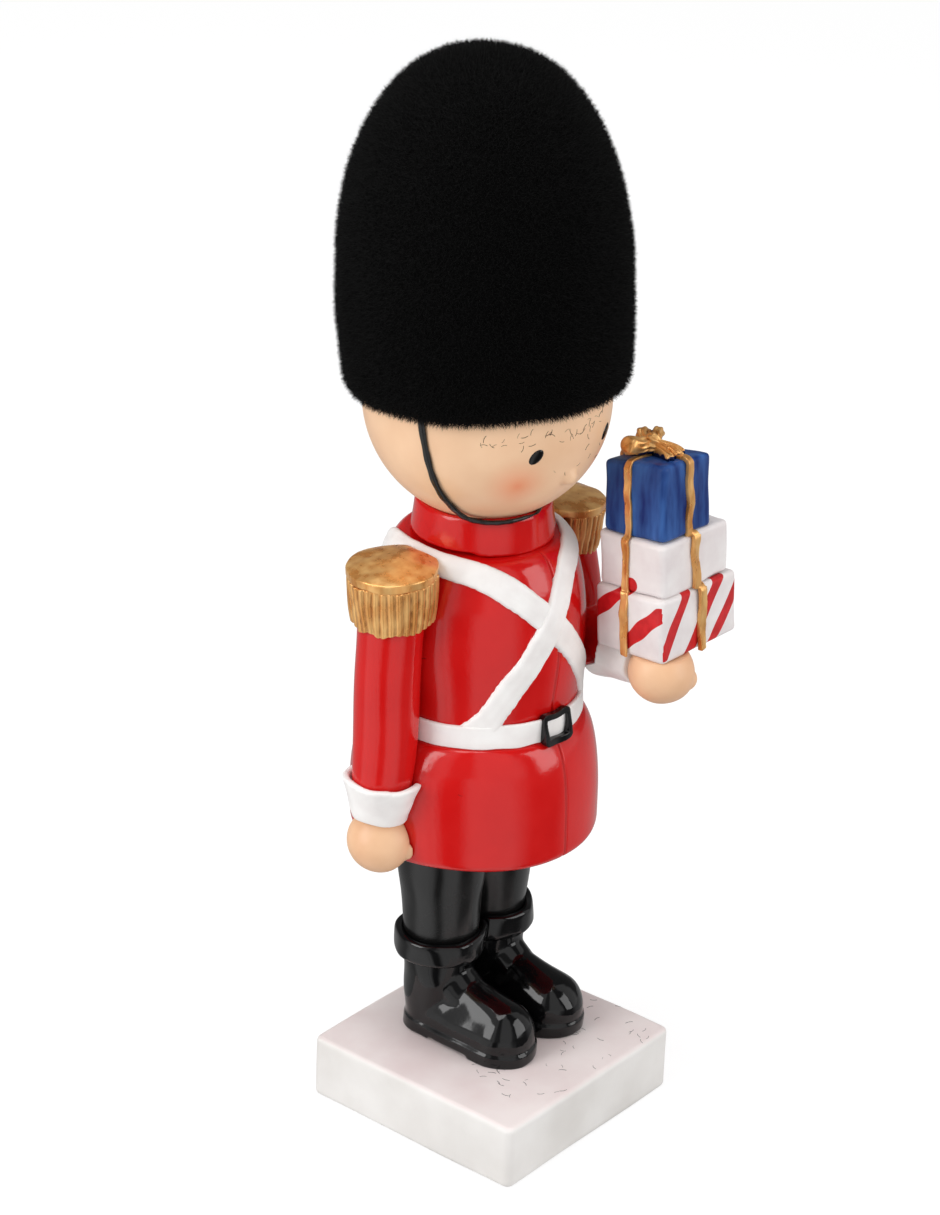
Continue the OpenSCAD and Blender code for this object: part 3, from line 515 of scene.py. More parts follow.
paint_coat = 0.24
rim_slant, slant_from, slant_run = 3.6, -2.5, 2.2
for side, seed in (("right", 71), ("left", 72)):
    cup = cast_copy(side + "_cuff_cup", side + "_cuff", grain=0.24, rubbed=4, sway=0.15, span=5, seed=seed)
    put_points(cup, points_of(cup) + paint_coat * normals_of(cup))
    if side == "left":
        points = points_of(cup)
        behind, high = along_forearm(points)
        cut_back = rim_slant * np.clip(behind / cuff_len, 0, 1) * np.clip((high - slant_from) / slant_run, 0, 1)
        put_points(cup, points + cut_back[:, None] * (upright([wrist_out])[0] - figure_at))
        flat_under(cup)
    place_piece(cup, strap_white, "straps", side + "_cuff")

# Hands: round mitten hands with a thumb, cast and painted a warm satin skin tone.
# The left one is flat on top where it carries the boxes.
skin_paint = brushed_paint(
    "skin_paint", tone(226, 176, 137), tone(237, 193, 154), rough=0.38, patch=8.0, peel=1.2, depth=0.02, gloss=0.4)
for side, seed in (("right", 81), ("left", 82)):
    cast_piece(
        side + "_hand_cast", [side + "_hand"], skin_paint, "skin",
        grain=0.26, rubbed=7, sway=0.12, span=8, seed=seed)

# Epaulettes: a domed cap on each shoulder with a fringe of cords below it.
# Cast resin in antique gold: bright on the high parts, brown in the grooves.
hollow_steps = 3


def store(piece, name, values):
    """Keeps one number for each point of a piece, for its paint to read."""
    kept = piece.data.attributes.new(name, "FLOAT", "POINT")
    kept.data.foreach_set("value", np.asarray(values, np.float32).ravel())


def mark_hollows(piece):
    """Stores how far each point lies in a hollow, so that a wash of paint can gather there."""
    points, edges = points_of(piece), np.empty(len(piece.data.edges) * 2, np.int64)
    piece.data.edges.foreach_get("vertices", edges)
    edges = edges.reshape(-1, 2)
    count = np.bincount(edges.ravel(), minlength=len(points))[:, None].clip(1)

    def around(values):
        total = np.zeros_like(values)
        np.add.at(total, edges[:, 0], values[edges[:, 1]])
        np.add.at(total, edges[:, 1], values[edges[:, 0]])
        return total / count

    mean = points
    for _ in range(hollow_steps):
        mean = around(mean)
    depth = ((mean - points) * normals_of(piece)).sum(1)[:, None]
    for _ in range(hollow_steps):
        depth = 0.5 * depth + 0.5 * around(depth)
    store(piece, "hollow", depth)


def gold_paint(name):
    """Gold paint with a brown wash that stays in the hollows; gives the finish and its colour."""
    finish = Finish(name, rough=0.3, metal=0.55)
    strokes = finish.noise(2.4, 3.0, finish.drawn_up(0.45))
    bright = finish.mottled(strokes, tone(212, 144, 74), tone(244, 194, 124))
    uneven = finish.spread(strokes, 0.3, 0.7, 0.006, -0.006)
    depth = combined(finish.tree, "ADD", finish.stored("hollow"), uneven)
    finish.uneven_gloss(strokes, 0.22, 0.4)
    finish.relief(finish.noise(0.9), 0.3, 0.04)
    return finish, finish.blend(finish.spread(depth, 0.004, 0.05), bright, tone(108, 58, 22))


cap_foot_z, fringe_len, right_cap_shift = 108.3, 7.8, (0.6, 0.0, 0.8)
right_drop, cap_spread, fringe_taper, end_wave = 1.1, 0.03, 0.09, 0.25
old_gold, gold_tone = gold_paint("old_gold")
old_gold.colour(gold_tone)
for side, seed in (("right", 91), ("left", 92)):
    cap = cast_copy(side + "_epaulette_cap", side + "_epaulette", grain=0.16, rubbed=7, sway=0.10, span=5, seed=seed)
    cords = cast_copy(side + "_fringe_cords", side + "_fringe", grain=0.15, rubbed=2, sway=0.08, span=4, seed=seed + 5)
    for piece in (cap, cords):
        own = in_body(points_of(piece))
        deep = np.clip((cap_foot_z - own[:, 2]) / fringe_len, 0, 1)
        if side == "right":
            own += right_cap_shift
            own[:, 2] -= right_drop * deep
        off = own[:, :2] - own[:, :2].mean(0)
        own[:, :2] += off * (cap_spread - fringe_taper * deep ** 2)[:, None]
        own[:, 2] += end_wave * deep ** 6 * (1 + np.sin(7 * np.arctan2(off[:, 1], off[:, 0]) + seed))
        put_points(piece, upright(own))
        mark_hollows(piece)
    place_piece(cap, old_gold, "gold", side + "_epaulette")
    place_piece(cords, old_gold, "gold", side + "_fringe")

# Head: a round ball with a small nose, cast in one and painted like the hands.
# A soft orange blush is dabbed on each cheek.
head_r, head_z = 21.7, 136.16
head_at = upright([[0, 0, head_z]])[0]
blush_turn, blush_down, blush_core, blush_reach = 31, 25, 0.3, 6.6


def on_head(round_deg, down_deg):
    """A point on the face: degrees towards the figure's left, and degrees down."""
    a, d = math.radians(round_deg), math.radians(down_deg)
    out = head_r * math.cos(d)
    return upright([[out * math.sin(a), -out * math.cos(a), head_z - head_r * math.sin(d)]])[0]


face_paint = Finish("face_paint", rough=0.36, gloss=0.4)
tint = face_paint.noise(9, 3.0)
face_tone = face_paint.mottled(tint, tone(236, 192, 154), tone(243, 203, 166), 0.3)
for side in (-1, 1):
    away = face_paint.near(on_head(side * blush_turn, blush_down))
    dab = face_paint.spread(away, blush_core * MM, blush_reach * MM, 1.0, 0.0)
    blush = combined(face_paint.tree, "MULTIPLY", combined(face_paint.tree, "POWER", dab, 1.5), 0.75)
    face_tone = face_paint.blend(blush, face_tone, tone(240, 136, 92))
face_paint.colour(face_tone)
face_paint.uneven_gloss(tint, 0.3, 0.44)
face_paint.relief(face_paint.noise(1.4), 0.3, 0.02)
cast_piece(
    "head_ball", ["head", "nose"], face_paint, "skin", grain=0.4, rubbed=2, sway=0.08, span=22, seed=101)

# Eyes: two dots of thick black paint, each a slanting oval that stands a little proud.
# Put on with a round brush after the face was dry.
eye_turn, eye_down, eye_half, eye_slant = 24, 9, (1.15, 1.75), math.radians(38)
eye_sunk, eye_proud, eye_rows, eye_spokes = 0.12, 0.42, 8, 40
for side, name in ((-1, "right"), (1, "left")):
    out = Vector(on_head(side * eye_turn, eye_down) - head_at).normalized()
    across = Vector((0, 0, 1)).cross(out).normalized()
    across, up = spun(across, out.cross(across), eye_slant)
    points = []
    for i in range(eye_rows + 1):
        share = i / eye_rows
        swell = head_r - eye_sunk + eye_proud * math.sqrt(1 - share ** 3)
        for j in range(eye_spokes):
            a = 2 * math.pi * j / eye_spokes
            aside, above = eye_half[0] * share * math.cos(a), eye_half[1] * share * math.sin(a)
            ray = out * head_r + across * aside + up * above
            points.append((Vector(head_at) + ray.normalized() * swell) * MM)
    dot = closed_piece(name + "_eye_dot", points, ring_faces(eye_rows + 1, eye_spokes), merged=1e-7)
    place_piece(dot, boot_black, "black_gloss", name + "_eye")

# Chin strap: a thin black cord from the hat's rim down under the chin.
# A raised line of the casting, painted satin black.
strap_black = brushed_paint(
    "strap_black", tone(12, 12, 12), tone(24, 24, 24), rough=0.26, patch=3.0, peel=0.7, depth=0.03)
cord_wide, cord_thick, thin_middle, thin_reach, far_tuck = 0.62, 0.42, 0.5, 3.5, 0.87
# The cord's near half, from the hat's rim to under the chin, measured from the head's middle.
cord_knots = np.array([
    (-21.0, -4.4, 5.0), (-21.5, -5.0, 1.6), (-21.0, -5.8, -3.4), (-19.7, -6.1, -7.8), (-17.8, -6.3, -11.5),
    (-15.5, -6.5, -14.3), (-13.0, -6.7, -16.8), (-11.2, -7.3, -18.0), (-9.6, -8.8, -18.5), (-8.1, -10.2, -18.6),
    (-6.2, -11.4, -18.6), (-3.7, -12.2, -18.5), (0.0, -12.5, -18.4)])
far_knots = cord_knots * [-1, 1, 1]
far_knots[8:12] *= [far_tuck, far_tuck, 1.0]
line = smooth_line(np.vstack([cord_knots, far_knots[-2::-1]]), 7)
way, out = unit(np.gradient(line, axis=0)), unit(line)
turns = np.linspace(0, 2 * math.pi, 14, endpoint=False)
rings = []
for i, spot in enumerate(line):
    thin = 1 - thin_middle * math.exp(-(spot[0] / thin_reach) ** 2) + 0.08 * math.sin(i * 0.9)
    flat = np.cos(turns)[:, None] * np.cross(out[i], way[i]) * cord_wide
    deep = np.sin(turns)[:, None] * out[i] * cord_thick
    rings.append(upright(spot + (flat + deep) * thin + [0, 0, head_z]))
place_piece(closed_band("chin_cord", rings), strap_black, "black_gloss", "chin_strap")

# Hat: a tall resin core, dull black, with a coat of short nylon flock shot on to wet glue.
# The fibres stand off the surface at all slants, so the outline is fuzzy.
rim_rise, hat_h, hat_r, rim_round = 1.2, 60.0, 25.6, 3.2
bulge_rise, rim_taper, crown_power, hat_tilt = 18.0, 0.6, 2.2, math.radians(-4)
flock_bed, rim_lip, hat_sway, hat_span = 0.75, 3, 0.12, 12
flock_share, hat_nap = 4, {"Density": 13e6, "Length": 1.45 * MM, "Thickness": 0.06 * MM, "Slant": 0.8}


def in_hat(points):
    """From the hat's tilted frame to the plinth's."""
    x, y, z = np.asarray(points, float).T
    y, z = spun(y, z, hat_tilt)
    return upright(np.c_[x, y, z + head_z])


low, crown, wide = rim_rise + flock_bed, rim_rise + hat_h - flock_bed, hat_r - flock_bed
edge, bulge = wide - rim_taper, rim_rise + bulge_rise
curl = quarter(8)
wall = np.linspace(0, 1, 14)[1:]
dome = np.sin(quarter(44))[1:-1]
hat_radii = np.r_[
    edge - rim_round - rim_lip, edge - rim_round + rim_round * np.sin(curl),
    edge + rim_taper * np.sin(wall * math.pi / 2),
    wide * (1 - dome ** crown_power) ** (1 / crown_power)]
hat_heights = np.r_[
    low, low + rim_round - rim_round * np.cos(curl), low + rim_round + (bulge - low - rim_round) * wall,
    bulge + (crown - bulge) * dome]
hat_piece, own = turned_piece("hat_flock_bed", hat_radii, hat_heights, np.radians(np.arange(0, 360, 2)))
own += hat_sway * drift(own, hat_span, 121)
put_points(hat_piece, in_hat(own))
bed_black = Finish("flock_bed_black", rough=0.9, gloss=0.1)
clump = bed_black.noise(0.5, 3.0)
bed_black.colour(bed_black.blend(clump, tone(1, 1, 1), tone(7, 7, 7)))
bed_black.relief(clump, 1.0, 0.4)
fibre_black = Finish("flock_fibre_black", rough=0.6, gloss=0.12)
fibre_mix = fibre_black.noise(0.25, 1.0)
fibre_black.colour(fibre_black.mottled(fibre_mix, tone(2, 2, 2), tone(14, 14, 14)))


def node_tree(name, **sizes):
    """A Geometry Nodes tree with a surface going in, named sizes, and one result."""
    tree = bpy.data.node_groups.new(name, "GeometryNodeTree")
    tree.interface.new_socket("Surface", in_out="INPUT", socket_type="NodeSocketGeometry")
    for label, value in sizes.items():
        kind = "NodeSocketInt" if isinstance(value, int) else "NodeSocketFloat"
        tree.interface.new_socket(label, in_out="INPUT", socket_type=kind).default_value = value
    tree.interface.new_socket("Result", in_out="OUTPUT", socket_type="NodeSocketGeometry")
    return tree, tree.nodes.new("NodeGroupInput").outputs


def set_inputs(modifier, **values):
    """Sets a tree's named inputs on one piece, each by its identifier."""
    for item in modifier.node_group.interface.items_tree:
        if item.in_out == "INPUT" and item.name in values:
            modifier[item.identifier] = values[item.name]


def chance(tree, seed, low, high):
    """A random number for each fibre."""
    given = {"Seed": seed, 2: low, 3: high}
    return add_node(tree, "FunctionNodeRandomValue", given, data_type="FLOAT").outputs[1]


def strewn(tree, given, fibre, turns, size):
    """Scatters a fibre over the surface, each copy with its own turns and size, all made real."""
    scatter = add_node(tree, "GeometryNodeDistributePointsOnFaces", {
        "Mesh": given["Surface"], "Density": given["Density"], "Seed": given["Seed"]}).outputs
    angles = add_node(tree, "ShaderNodeCombineXYZ", turns)
    spin = add_node(tree, "FunctionNodeEulerToRotation", {0: angles.outputs[0]})
    turn = add_node(
        tree, "FunctionNodeRotateRotation", {0: scatter["Rotation"], 1: spin.outputs[0]}, rotation_space="LOCAL")
    copies = add_node(tree, "GeometryNodeInstanceOnPoints", {
        "Points": scatter["Points"], "Instance": fibre, "Rotation": turn.outputs[0], "Scale": size})
    real = add_node(tree, "GeometryNodeRealizeInstances", {0: copies.outputs[0]})
    finish = add_node(
        tree, "GeometryNodeSetMaterial", {"Geometry": real.outputs[0], "Material": fibre_black.material})
    add_node(tree, "NodeGroupOutput", {0: finish.outputs[0]})
    return tree


def standing_fibres():
    """Needles that stand on a surface at random slants, one per scattered point."""
    tree, given = node_tree(
        "standing_fibres", Density=1e7, Length=0.001, Thickness=0.0001, Slant=0.6, Seed=1)
    needle = add_node(tree, "GeometryNodeMeshCone", {
        "Vertices": 3, "Radius Top": 0.0, "Radius Bottom": given["Thickness"], "Depth": given["Length"]},
        fill_type="NONE")
    slant = given["Slant"]
    back = combined(tree, "MULTIPLY", slant, -1.0)
    turns = {axis: chance(tree, seed, back, slant) for axis, seed in (("X", 1), ("Y", 2))}
    turns["Z"] = chance(tree, 3, 0.0, 2 * math.pi)
    return strewn(tree, given, needle.outputs["Mesh"], turns, chance(tree, 4, 0.6, 1.15))


def flock_patch(name, surface, chosen, tree, **sizes):
    """Fibres on those faces of a surface that are chosen by their middles, in millimetres."""
    cut = bmesh.new()
    cut.from_mesh(surface.data)
    kept = chosen(np.array([face.calc_center_median() for face in cut.faces]) / MM)
    bmesh.ops.delete(cut, geom=[face for face, keep in zip(cut.faces[:], kept) if not keep], context="FACES")
    mesh = bpy.data.meshes.new(name)
    cut.to_mesh(mesh)
    cut.free()
    piece = link_piece(name, mesh)
    fibres = piece.modifiers.new("fibres", "NODES")
    fibres.node_group = tree
    set_inputs(fibres, **sizes)
    settle(piece)
    place_piece(piece, fibre_black, "flock")


def hat_part(points):
    """The number of the hat's part in which each point lies, counted round the figure's axis."""
    x, y, _ = (points - figure_at).T
    return np.floor(np.arctan2(y, x) / (2 * math.pi) % 1 * flock_share)


flock_tree = standing_fibres()
for part in range(flock_share):
    name = "hat_flock_%d" % (part + 1)
    flock_patch(name, hat_piece, lambda spots: hat_part(spots) == part, flock_tree, Seed=130 + part, **hat_nap)
place_piece(hat_piece, bed_black, "hat", "hat_flock")
core_black = Finish("core_black", rough=0.7, gloss=0.3)
core_black.colour(core_black.blend(core_black.noise(2.0), tone(18, 18, 18), tone(30, 30, 30)))
finish_inner("hat_core", core_black)

# Gift boxes: three cast boxes with soft edges, stacked on the left hand and leaning back a little.
# Resin, pinned to the hand: white with hand-painted red stripes, plain white, and satin navy on top.
hand_to_stack = (-4.4, -3.8, 3.7)
stack_at = left_hand_at + hand_to_stack
stack_turn, stack_lean = math.radians(2), math.radians(-4)
box_low, box_mid, box_top = (21.0, 15.4, 11.8), (18.6, 14.6, 10.0), (13.5, 13.4, 14.4)
box_step, top_fall = (0.7, 0.5), (0.074, 0.097)
top_foot = box_low[2] + box_mid[2]
face_reach, stroke_wander, wander_span = 1.5, 0.16, 4.5


def stacked(points):
    """From the stack's frame, whose origin is its near bottom corner, to the plinth's."""
    x, y, z = np.asarray(points, float).T
    y, z = spun(y, z, stack_lean)
    return upright(np.c_[(*spun(x, y, stack_turn), z)] + stack_at)


def unstacked(points):
    """The way back from stacked."""
    x, y, z = (in_body(points) - stack_at).T
    x, y = spun(x, y, -stack_turn)
    return np.c_[(x, *spun(y, z, -stack_lean))]


def fallen_back(piece):
    """Lets the top box and what lies on it sink towards the far corner, as it came out of the mould."""
    own = unstacked(points_of(piece))
    share = np.clip((own[:, 2] - top_foot) / box_top[2], 0, 1.1)
    own[:, 2] -= share * ((own[:, :2] - np.multiply(2, box_step)) @ top_fall)
    put_points(piece, stacked(own))
    return piece


box_paint = Finish("box_striped", rough=0.42, gloss=0.4)
patches = box_paint.noise(5, 3.0)
paper = box_paint.mottled(patches, tone(221, 212, 212), tone(234, 229, 228), 0.3)
strokes = box_paint.noise(2.0)
stripe_red = box_paint.mottled(strokes, tone(186, 12, 20), tone(206, 26, 32))
in_stripe = box_paint.spread(box_paint.stored("stripe"), -0.03, 0.03)
box_paint.colour(box_paint.blend(in_stripe, paper, stripe_red))
box_paint.uneven_gloss(patches, 0.34, 0.5)
box_paint.relief(box_paint.noise(1.6), 0.35, 0.08)
box_navy = Finish("box_navy", rough=0.34, gloss=0.2)
strokes = box_navy.noise(2.6, 3.0, box_navy.drawn_up(0.22))
box_navy.colour(box_navy.mottled(strokes, tone(16, 42, 104), tone(56, 98, 164), 0.32))
box_navy.uneven_gloss(strokes, 0.28, 0.42)
box_navy.relief(strokes, 0.4, 0.08)

# Each stripe is a stroke on one face: where it starts and ends, along the face and up, and half its width.
stripe_strokes = {
    "near_side": [((17.0, 5.2), (7.6, 13.2), 1.25), ((8.4, 2.4), (0.9, 9.2), 1.3)],
    "front": [((0.6, 1.6), (7.4, 12.8), 1.1), ((7.2, 0.0), (17.0, 13.4), 1.3), ((13.8, 0.0), (22.4, 10.8), 1.15)],
    "far_side": [((-1.0, 0.6), (7.6, 12.6), 1.2), ((6.8, -0.8), (16.0, 11.4), 1.2)],
    "back": [((-1.0, 8.2), (6.0, -1.0), 1.2), ((3.6, 13.0), (13.4, -1.0), 1.2), ((11.4, 13.0), (21.6, -1.0), 1.2)]}


def paint_stripes(box, corner, size, faces):
    """Stores how far inside a painted stroke each spot of a box lies; a stroke may run on to the next box."""
    own = unstacked(points_of(box))
    off_face = np.abs(np.c_[own[:, :2] - corner, own[:, :2] - np.add(corner, size[:2])])
    face_of = off_face.argmin(1)
    stripe = np.full(len(own), -5.0)
    for number, (face, strokes) in enumerate(stripe_strokes.items()):
        mine = (face_of == number) & (off_face[:, number] < face_reach) & (face in faces)
        spot = own[mine][:, [1 if face.endswith("side") else 0, 2]]
        for start, end, half in strokes:
            start, reach = np.array(start), np.subtract(end, start)
            share = np.clip(((spot - start) @ reach) / (reach @ reach), 0, 1)
            off = np.linalg.norm(spot - start - share[:, None] * reach, axis=1)
            stripe[mine] = np.maximum(stripe[mine], half - off)
    stripe += stroke_wander * drift(own, wander_span, 135)[:, 0]
    store(box, "stripe", stripe)
    return box


bottom_box = cast_copy("gift_box_striped", "gift_bottom", grain=0.2, rubbed=5, sway=0.14, span=8, seed=131)
place_piece(paint_stripes(bottom_box, (0, 0), box_low, stripe_strokes), box_paint, "gift_white", "gift_bottom")
middle_box = cast_copy("gift_box_white", "gift_middle", grain=0.2, rubbed=6, sway=0.14, span=7, seed=132)
place_piece(paint_stripes(middle_box, box_step, box_mid, ["near_side"]), box_paint, "gift_white", "gift_middle")
place_piece(
    fallen_back(cast_copy("gift_box_navy", "gift_upper", grain=0.24, rubbed=7, sway=0.14, span=8, seed=133)),
    box_navy, "gift_blue", "gift_upper")
finish_inner("gift_pin", pin_steel)

# Ribbons and bow: flat bands cast on the boxes, with a gathered bow on top.
# The same antique gold as the epaulettes.
bow_share, bow_lift, bow_off, fold_depth = (0.49, 0.56), 0.9, (-1.0, -0.4, 0), 0.2
bow_at = np.r_[np.multiply(2, box_step) + np.multiply(bow_share, box_top[:2]), bow_lift + (top_foot + box_top[2])]
ribbon_share = (0.84, 0.78, 0.72)
bow_aside = upright([bow_off])[0] - figure_at
bow_gold, gold_tone = gold_paint("bow_gold")
# The bow's lowest parts, next to the navy box, are painted navy: partly paint smeared from the box, partly painted
# shade under the loops.
dabs = bow_gold.spread(bow_gold.noise(1.4), 0.3, 0.7, -0.4, 0.4)
navy_smear_and_shade = combined(bow_gold.tree, "ADD", bow_gold.stored("low"), dabs)
bow_gold.colour(bow_gold.blend(bow_gold.spread(navy_smear_and_shade, 0.0, 0.12), gold_tone, tone(24, 36, 78)))
for band, node, wide, seed in (
        ("ribbon_side_to_side", "ribbon_across", 1, 141), ("ribbon_front_to_back", "ribbon_along", 0, 142)):
    ribbon = cast_copy(band, node, grain=0.15, rubbed=5, sway=0.2, span=4, seed=seed)
    own = unstacked(points_of(ribbon))
    layer = np.digitize(own[:, 2], (box_low[2], top_foot))
    for box, share in enumerate(ribbon_share):
        band_there = own[layer == box, wide]
        middle = (band_there.min() + band_there.max()) / 2
        own[layer == box, wide] = middle + share * (band_there - middle)
    put_points(ribbon, stacked(own))
    mark_hollows(fallen_back(ribbon))
    place_piece(ribbon, old_gold, "gold", node)


def gather(piece, turn, folds, fade, lift):
    """Presses folds into a loop of the bow, fading outwards from the knot, and lifts the loop's end."""
    points = points_of(piece)
    own = unstacked(points) - bow_at
    along, aside = spun(own[:, 0], own[:, 1], -math.radians(turn))
    ring = np.arctan2(aside, own[:, 2] - 1.0)
    strong = fold_depth * np.clip(1.15 - along / fade, 0, 1)
    move = strong * np.sin(folds * ring + 1.2 * np.sin(1.7 * along))
    put_points(piece, points + normals_of(piece) * move[:, None])
    mark_hollows(piece)
    # How low each point lies, for the navy smear and painted shade at the bow's foot.
    store(piece, "low", 0.5 - own[:, 2])
    rise = lift * np.clip(along / 4, 0, 1)
    put_points(piece, points_of(piece) + bow_aside + rise[:, None] * [0, 0, 1])
    fallen_back(piece)


for loop, node, turn, folds, fade, lift in (
        ("bow_loop_side", "bow_side_loop", 165, 11, 3.8, 0.0), ("bow_loop_back", "bow_back_loop", 40, 12, 7.0, 1.2),
        ("bow_middle", "bow_knot", -65, 9, 9.0, 0.0)):
    piece = cast_copy(loop, node, grain=0.09, rubbed=5, sway=0.14, span=3, seed=143)
    gather(piece, turn, folds, fade, lift)
    place_piece(piece, bow_gold, "gold", node)

# The bow's short ends: a ribbed fan on the box's top, spread between two turns in degrees.
fan_start, fan_end, fan_ribs = -112, -4, 9
fan_reach, fan_core, fan_sunk = 5.3, 0.3, 0.9
out = np.linspace(0, 1, 30)
fan = []
for share in np.linspace(0, 1, 110):
    turn = math.radians(fan_start + (fan_end - fan_start) * share)
    reach = fan_reach + 0.5 * math.sin(23 * share) + 0.35 * math.sin(57 * share + 1)
    rib = np.sin(2 * math.pi * fan_ribs * share + 0.7 * np.sin(5 * out))
    rise = 0.75 + 2.0 * (1 - out) ** 1.2 + 0.4 * rib * out ** 0.5
    rise *= np.sqrt(np.clip(1.02 - out ** 6, 0, 1)) * math.sin(math.pi * (0.03 + 0.94 * share)) ** 0.25
    r = fan_core + (reach - fan_core) * out
    top = np.c_[r * math.cos(turn), r * math.sin(turn), rise]
    foot = top[::-1] * [1, 1, 0] - [0, 0, fan_sunk]
    fan.append(stacked(np.vstack([top, foot]) + bow_at))
fan_piece = closed_band("bow_ends_fan", fan)
mark_hollows(fan_piece)
# How low each point of the fan lies, for the navy smear and painted shade at its foot.
store(fan_piece, "low", 0.1 - (unstacked(points_of(fan_piece)) - bow_at)[:, 2])
put_points(fan_piece, points_of(fan_piece) + bow_aside)
place_piece(fallen_back(fan_piece), bow_gold, "gold", "bow_tails")

# Loose flock: a few fibres that missed the hat and stuck in the fresh paint of the face, the plinth and the coat.
# Nylon, a little bent, lying flat on the surface.
loose_len = 1.15


def lying_fibres():
    """Bent fibres that lie on a surface, one per scattered point, each turned its own way."""
    tree, given = node_tree("lying_fibres", Density=1e5, Length=0.001, Seed=1)
    line = add_node(tree, "GeometryNodeCurveQuadraticBezier", {
        "Resolution": 6, "Start": (-0.5, 0, 0), "Middle": (0.05, 0.25, 0), "End": (0.5, 0, 0)})
    section = add_node(tree, "GeometryNodeCurvePrimitiveCircle", {"Resolution": 5, "Radius": 0.034})
    fibre = add_node(tree, "GeometryNodeCurveToMesh", {
        "Curve": line.outputs["Curve"], "Profile Curve": section.outputs["Curve"], "Fill Caps": True})
    size = combined(tree, "MULTIPLY", chance(tree, 2, 0.6, 1.3), given["Length"])
    turns = {"Z": chance(tree, 0, 0.0, 2 * math.pi)}
    return strewn(tree, given, fibre.outputs["Mesh"], turns, size)


def face_angles(points):
    """Degrees round and degrees down of points on the head, as on_head takes them."""
    x, y, z = (points - head_at).T
    return np.degrees(np.arctan2(x, -y)) - math.degrees(figure_turn), np.degrees(np.arctan2(-z, np.hypot(x, y)))


def forehead(points):
    turn, down = face_angles(points)
    return (np.abs(turn + 14) < 36) & (down > -4) & (down < 3.6 - 0.05 * turn)


def cheek(points):
    turn, down = face_angles(points)
    return (turn > -14) & (turn < 38) & (down > 4) & (down < 32)


def plinth_front(points):
    x, y, z = points.T
    return (z > plinth_top - 0.3) & ((y < -4) | (x > 15)) & (x > -15) & (y < 14)


def chest(points):
    x, y, z = points.T
    return (z > 60) & (z < 100) & (x + y < 0)


lying_tree = lying_fibres()
for patch, surface, chosen, density, seed in (
        ("forehead", "head_ball", forehead, 4.4e5, 151), ("cheek", "head_ball", cheek, 0.55e5, 152),
        ("plinth", "plinth_block", plinth_front, 0.75e5, 153), ("coat", "coat_cast", chest, 0.035e5, 154)):
    flock_patch(
        "loose_flock_" + patch, bpy.data.objects[surface], chosen, lying_tree, Density=density,
        Length=loose_len * MM, Seed=seed)

# Studio: a pale floor, three soft lamps and the camera where the photograph was taken.
# None of it is part of the figure.
floor_half, floor_grey, floor_lift, floor_fill, sky_level = 3, 0.30, 0.40, 0.36, 0.62
lamp_aim = Vector((0, 0, 0.1))
camera_at, sensor_mm, focal_px, photo_px_high = (-0.42051, -0.33426, 0.34949), 36.0, 3386.8, 1215
az, el, roll = (math.radians(d) for d in (-50.795, 24.99, 1.889))
bpy.context.scene.view_settings.view_transform = "Standard"
floor_mesh = bpy.data.meshes.new("studio_floor")
corners = [(x * floor_half, y * floor_half, 0) for x, y in ((-1, -1), (1, -1), (1, 1), (-1, 1))]
floor_mesh.from_pydata(corners, [], [(0, 1, 2, 3)])
floor = link_piece("studio_floor", floor_mesh)


def panels(tree, place, stops):
    """Brightness that changes with the bearing, like white boards with dark gaps between them."""
    looking = add_node(tree, "ShaderNodeSeparateXYZ", {0: place})
    bearing = combined(tree, "ARCTAN2", looking.outputs["Y"], looking.outputs["X"])
    around = add_node(tree, "ShaderNodeMapRange", {"Value": bearing, "From Min": -math.pi, "From Max": math.pi})
    boards = add_node(tree, "ShaderNodeValToRGB", {"Fac": around.outputs["Result"]})
    edges = boards.color_ramp.elements
    edges.remove(edges[-1])
    for at, bright in stops:
        edges.new(at).color = (bright, bright, bright, 1)
    return boards.outputs["Color"]


# Where each board's edge lies, as a share of the turn from -X round by -Y, and how bright it is there.
floor_boards = (
    (0.001, 0.95), (0.012, 0.95), (0.036, 0.06), (0.072, 0.06), (0.098, 0.85), (0.20, 0.85), (0.25, 0.10), (0.33, 0.10),
    (0.37, 0.45), (0.82, 0.35), (0.87, 0.35), (0.90, 0.95))
sky_boards = (
    (0.001, 0.75), (0.03, 0.75), (0.05, 0.18), (0.10, 0.18), (0.12, 0.8), (0.23, 0.8), (0.25, 0.10),
    (0.34, 0.10), (0.36, 0.7), (0.43, 0.7), (0.45, 0.12), (0.86, 0.12), (0.89, 0.75))
floor_paper = bpy.data.materials.new("floor_paper")
floor_paper.use_nodes = True
tree = floor_paper.node_tree
tree.nodes.clear()
ray = tree.nodes.new("ShaderNodeLightPath").outputs
place = tree.nodes.new("ShaderNodeTexCoord").outputs["Object"]
paper = add_node(tree, "ShaderNodeBsdfDiffuse", {"Color": (floor_grey, floor_grey, floor_grey, 1)})
seen = add_node(
    tree, "ShaderNodeMath", {0: ray["Is Camera Ray"], 1: floor_lift, 2: floor_fill}, operation="MULTIPLY_ADD")
glow = add_node(tree, "ShaderNodeEmission", {"Strength": seen.outputs[0]})
both = add_node(tree, "ShaderNodeAddShader", {0: paper.outputs[0], 1: glow.outputs[0]})
mirrored = add_node(tree, "ShaderNodeEmission", {"Color": panels(tree, place, floor_boards)})
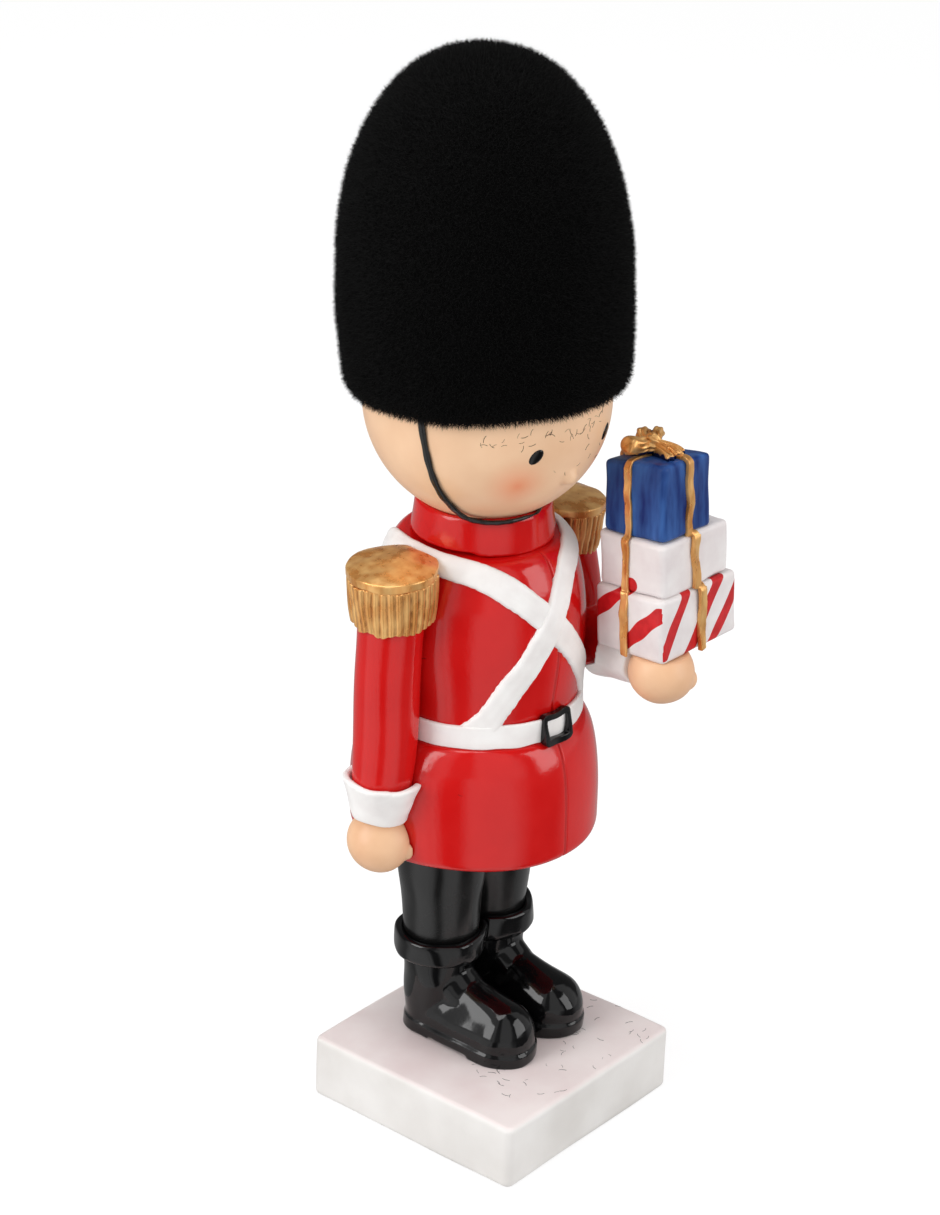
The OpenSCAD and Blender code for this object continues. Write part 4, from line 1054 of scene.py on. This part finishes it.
either = add_node(
    tree, "ShaderNodeMixShader", {0: ray["Is Glossy Ray"], 1: both.outputs[0], 2: mirrored.outputs[0]})
add_node(tree, "ShaderNodeOutputMaterial", {"Surface": either.outputs[0]})
floor_mesh.materials.append(floor_paper)

world = bpy.data.worlds.new("studio")
bpy.context.scene.world = world
world.use_nodes = True
tree = world.node_tree
ray = tree.nodes.new("ShaderNodeLightPath").outputs
place = tree.nodes.new("ShaderNodeTexCoord").outputs["Generated"]
level = add_node(tree, "ShaderNodeMapRange", {"Value": ray["Is Camera Ray"], "To Min": sky_level})
boards = panels(tree, place, sky_boards)
choice = add_node(
    tree, "ShaderNodeMix", {0: ray["Is Glossy Ray"], 2: level.outputs["Result"], 3: boards}, data_type="FLOAT")
sky = tree.nodes["Background"]
sky.inputs["Color"].default_value = (1, 1, 1, 1)
tree.links.new(choice.outputs[0], sky.inputs["Strength"])


def soft_lamp(name, at, power, size):
    lamp = bpy.data.lights.new(name, "AREA")
    lamp.shape = "RECTANGLE"
    lamp.size, lamp.size_y = size
    lamp.energy = power
    holder = link_piece(name, lamp)
    holder.location = at
    holder.rotation_euler = (lamp_aim - Vector(at)).to_track_quat("-Z", "Y").to_euler()


soft_lamp("lamp_left", (-0.75, 0.25, 0.45), 4.2, (0.42, 0.7))
soft_lamp("lamp_right", (0.30, -0.80, 0.40), 3.0, (0.42, 0.7))
soft_lamp("lamp_top", (-0.10, 0.05, 0.85), 1.8, (0.4, 0.4))

back = Vector((math.sin(az) * math.cos(el), -math.cos(az) * math.cos(el), math.sin(el)))
level_way = Vector((math.cos(az), math.sin(az), 0))
right_way, up_way = spun(level_way, back.cross(level_way), -roll)
camera = bpy.data.cameras.new("camera")
camera.sensor_width = sensor_mm
camera.lens = sensor_mm * focal_px / photo_px_high
camera.clip_start, camera.clip_end = 0.01, 20
camera_stand = link_piece("camera", camera)
turned = Matrix((right_way, up_way, back)).transposed().to_4x4()
turned.translation = Vector(camera_at)
camera_stand.matrix_world = turned
bpy.context.scene.camera = camera_stand
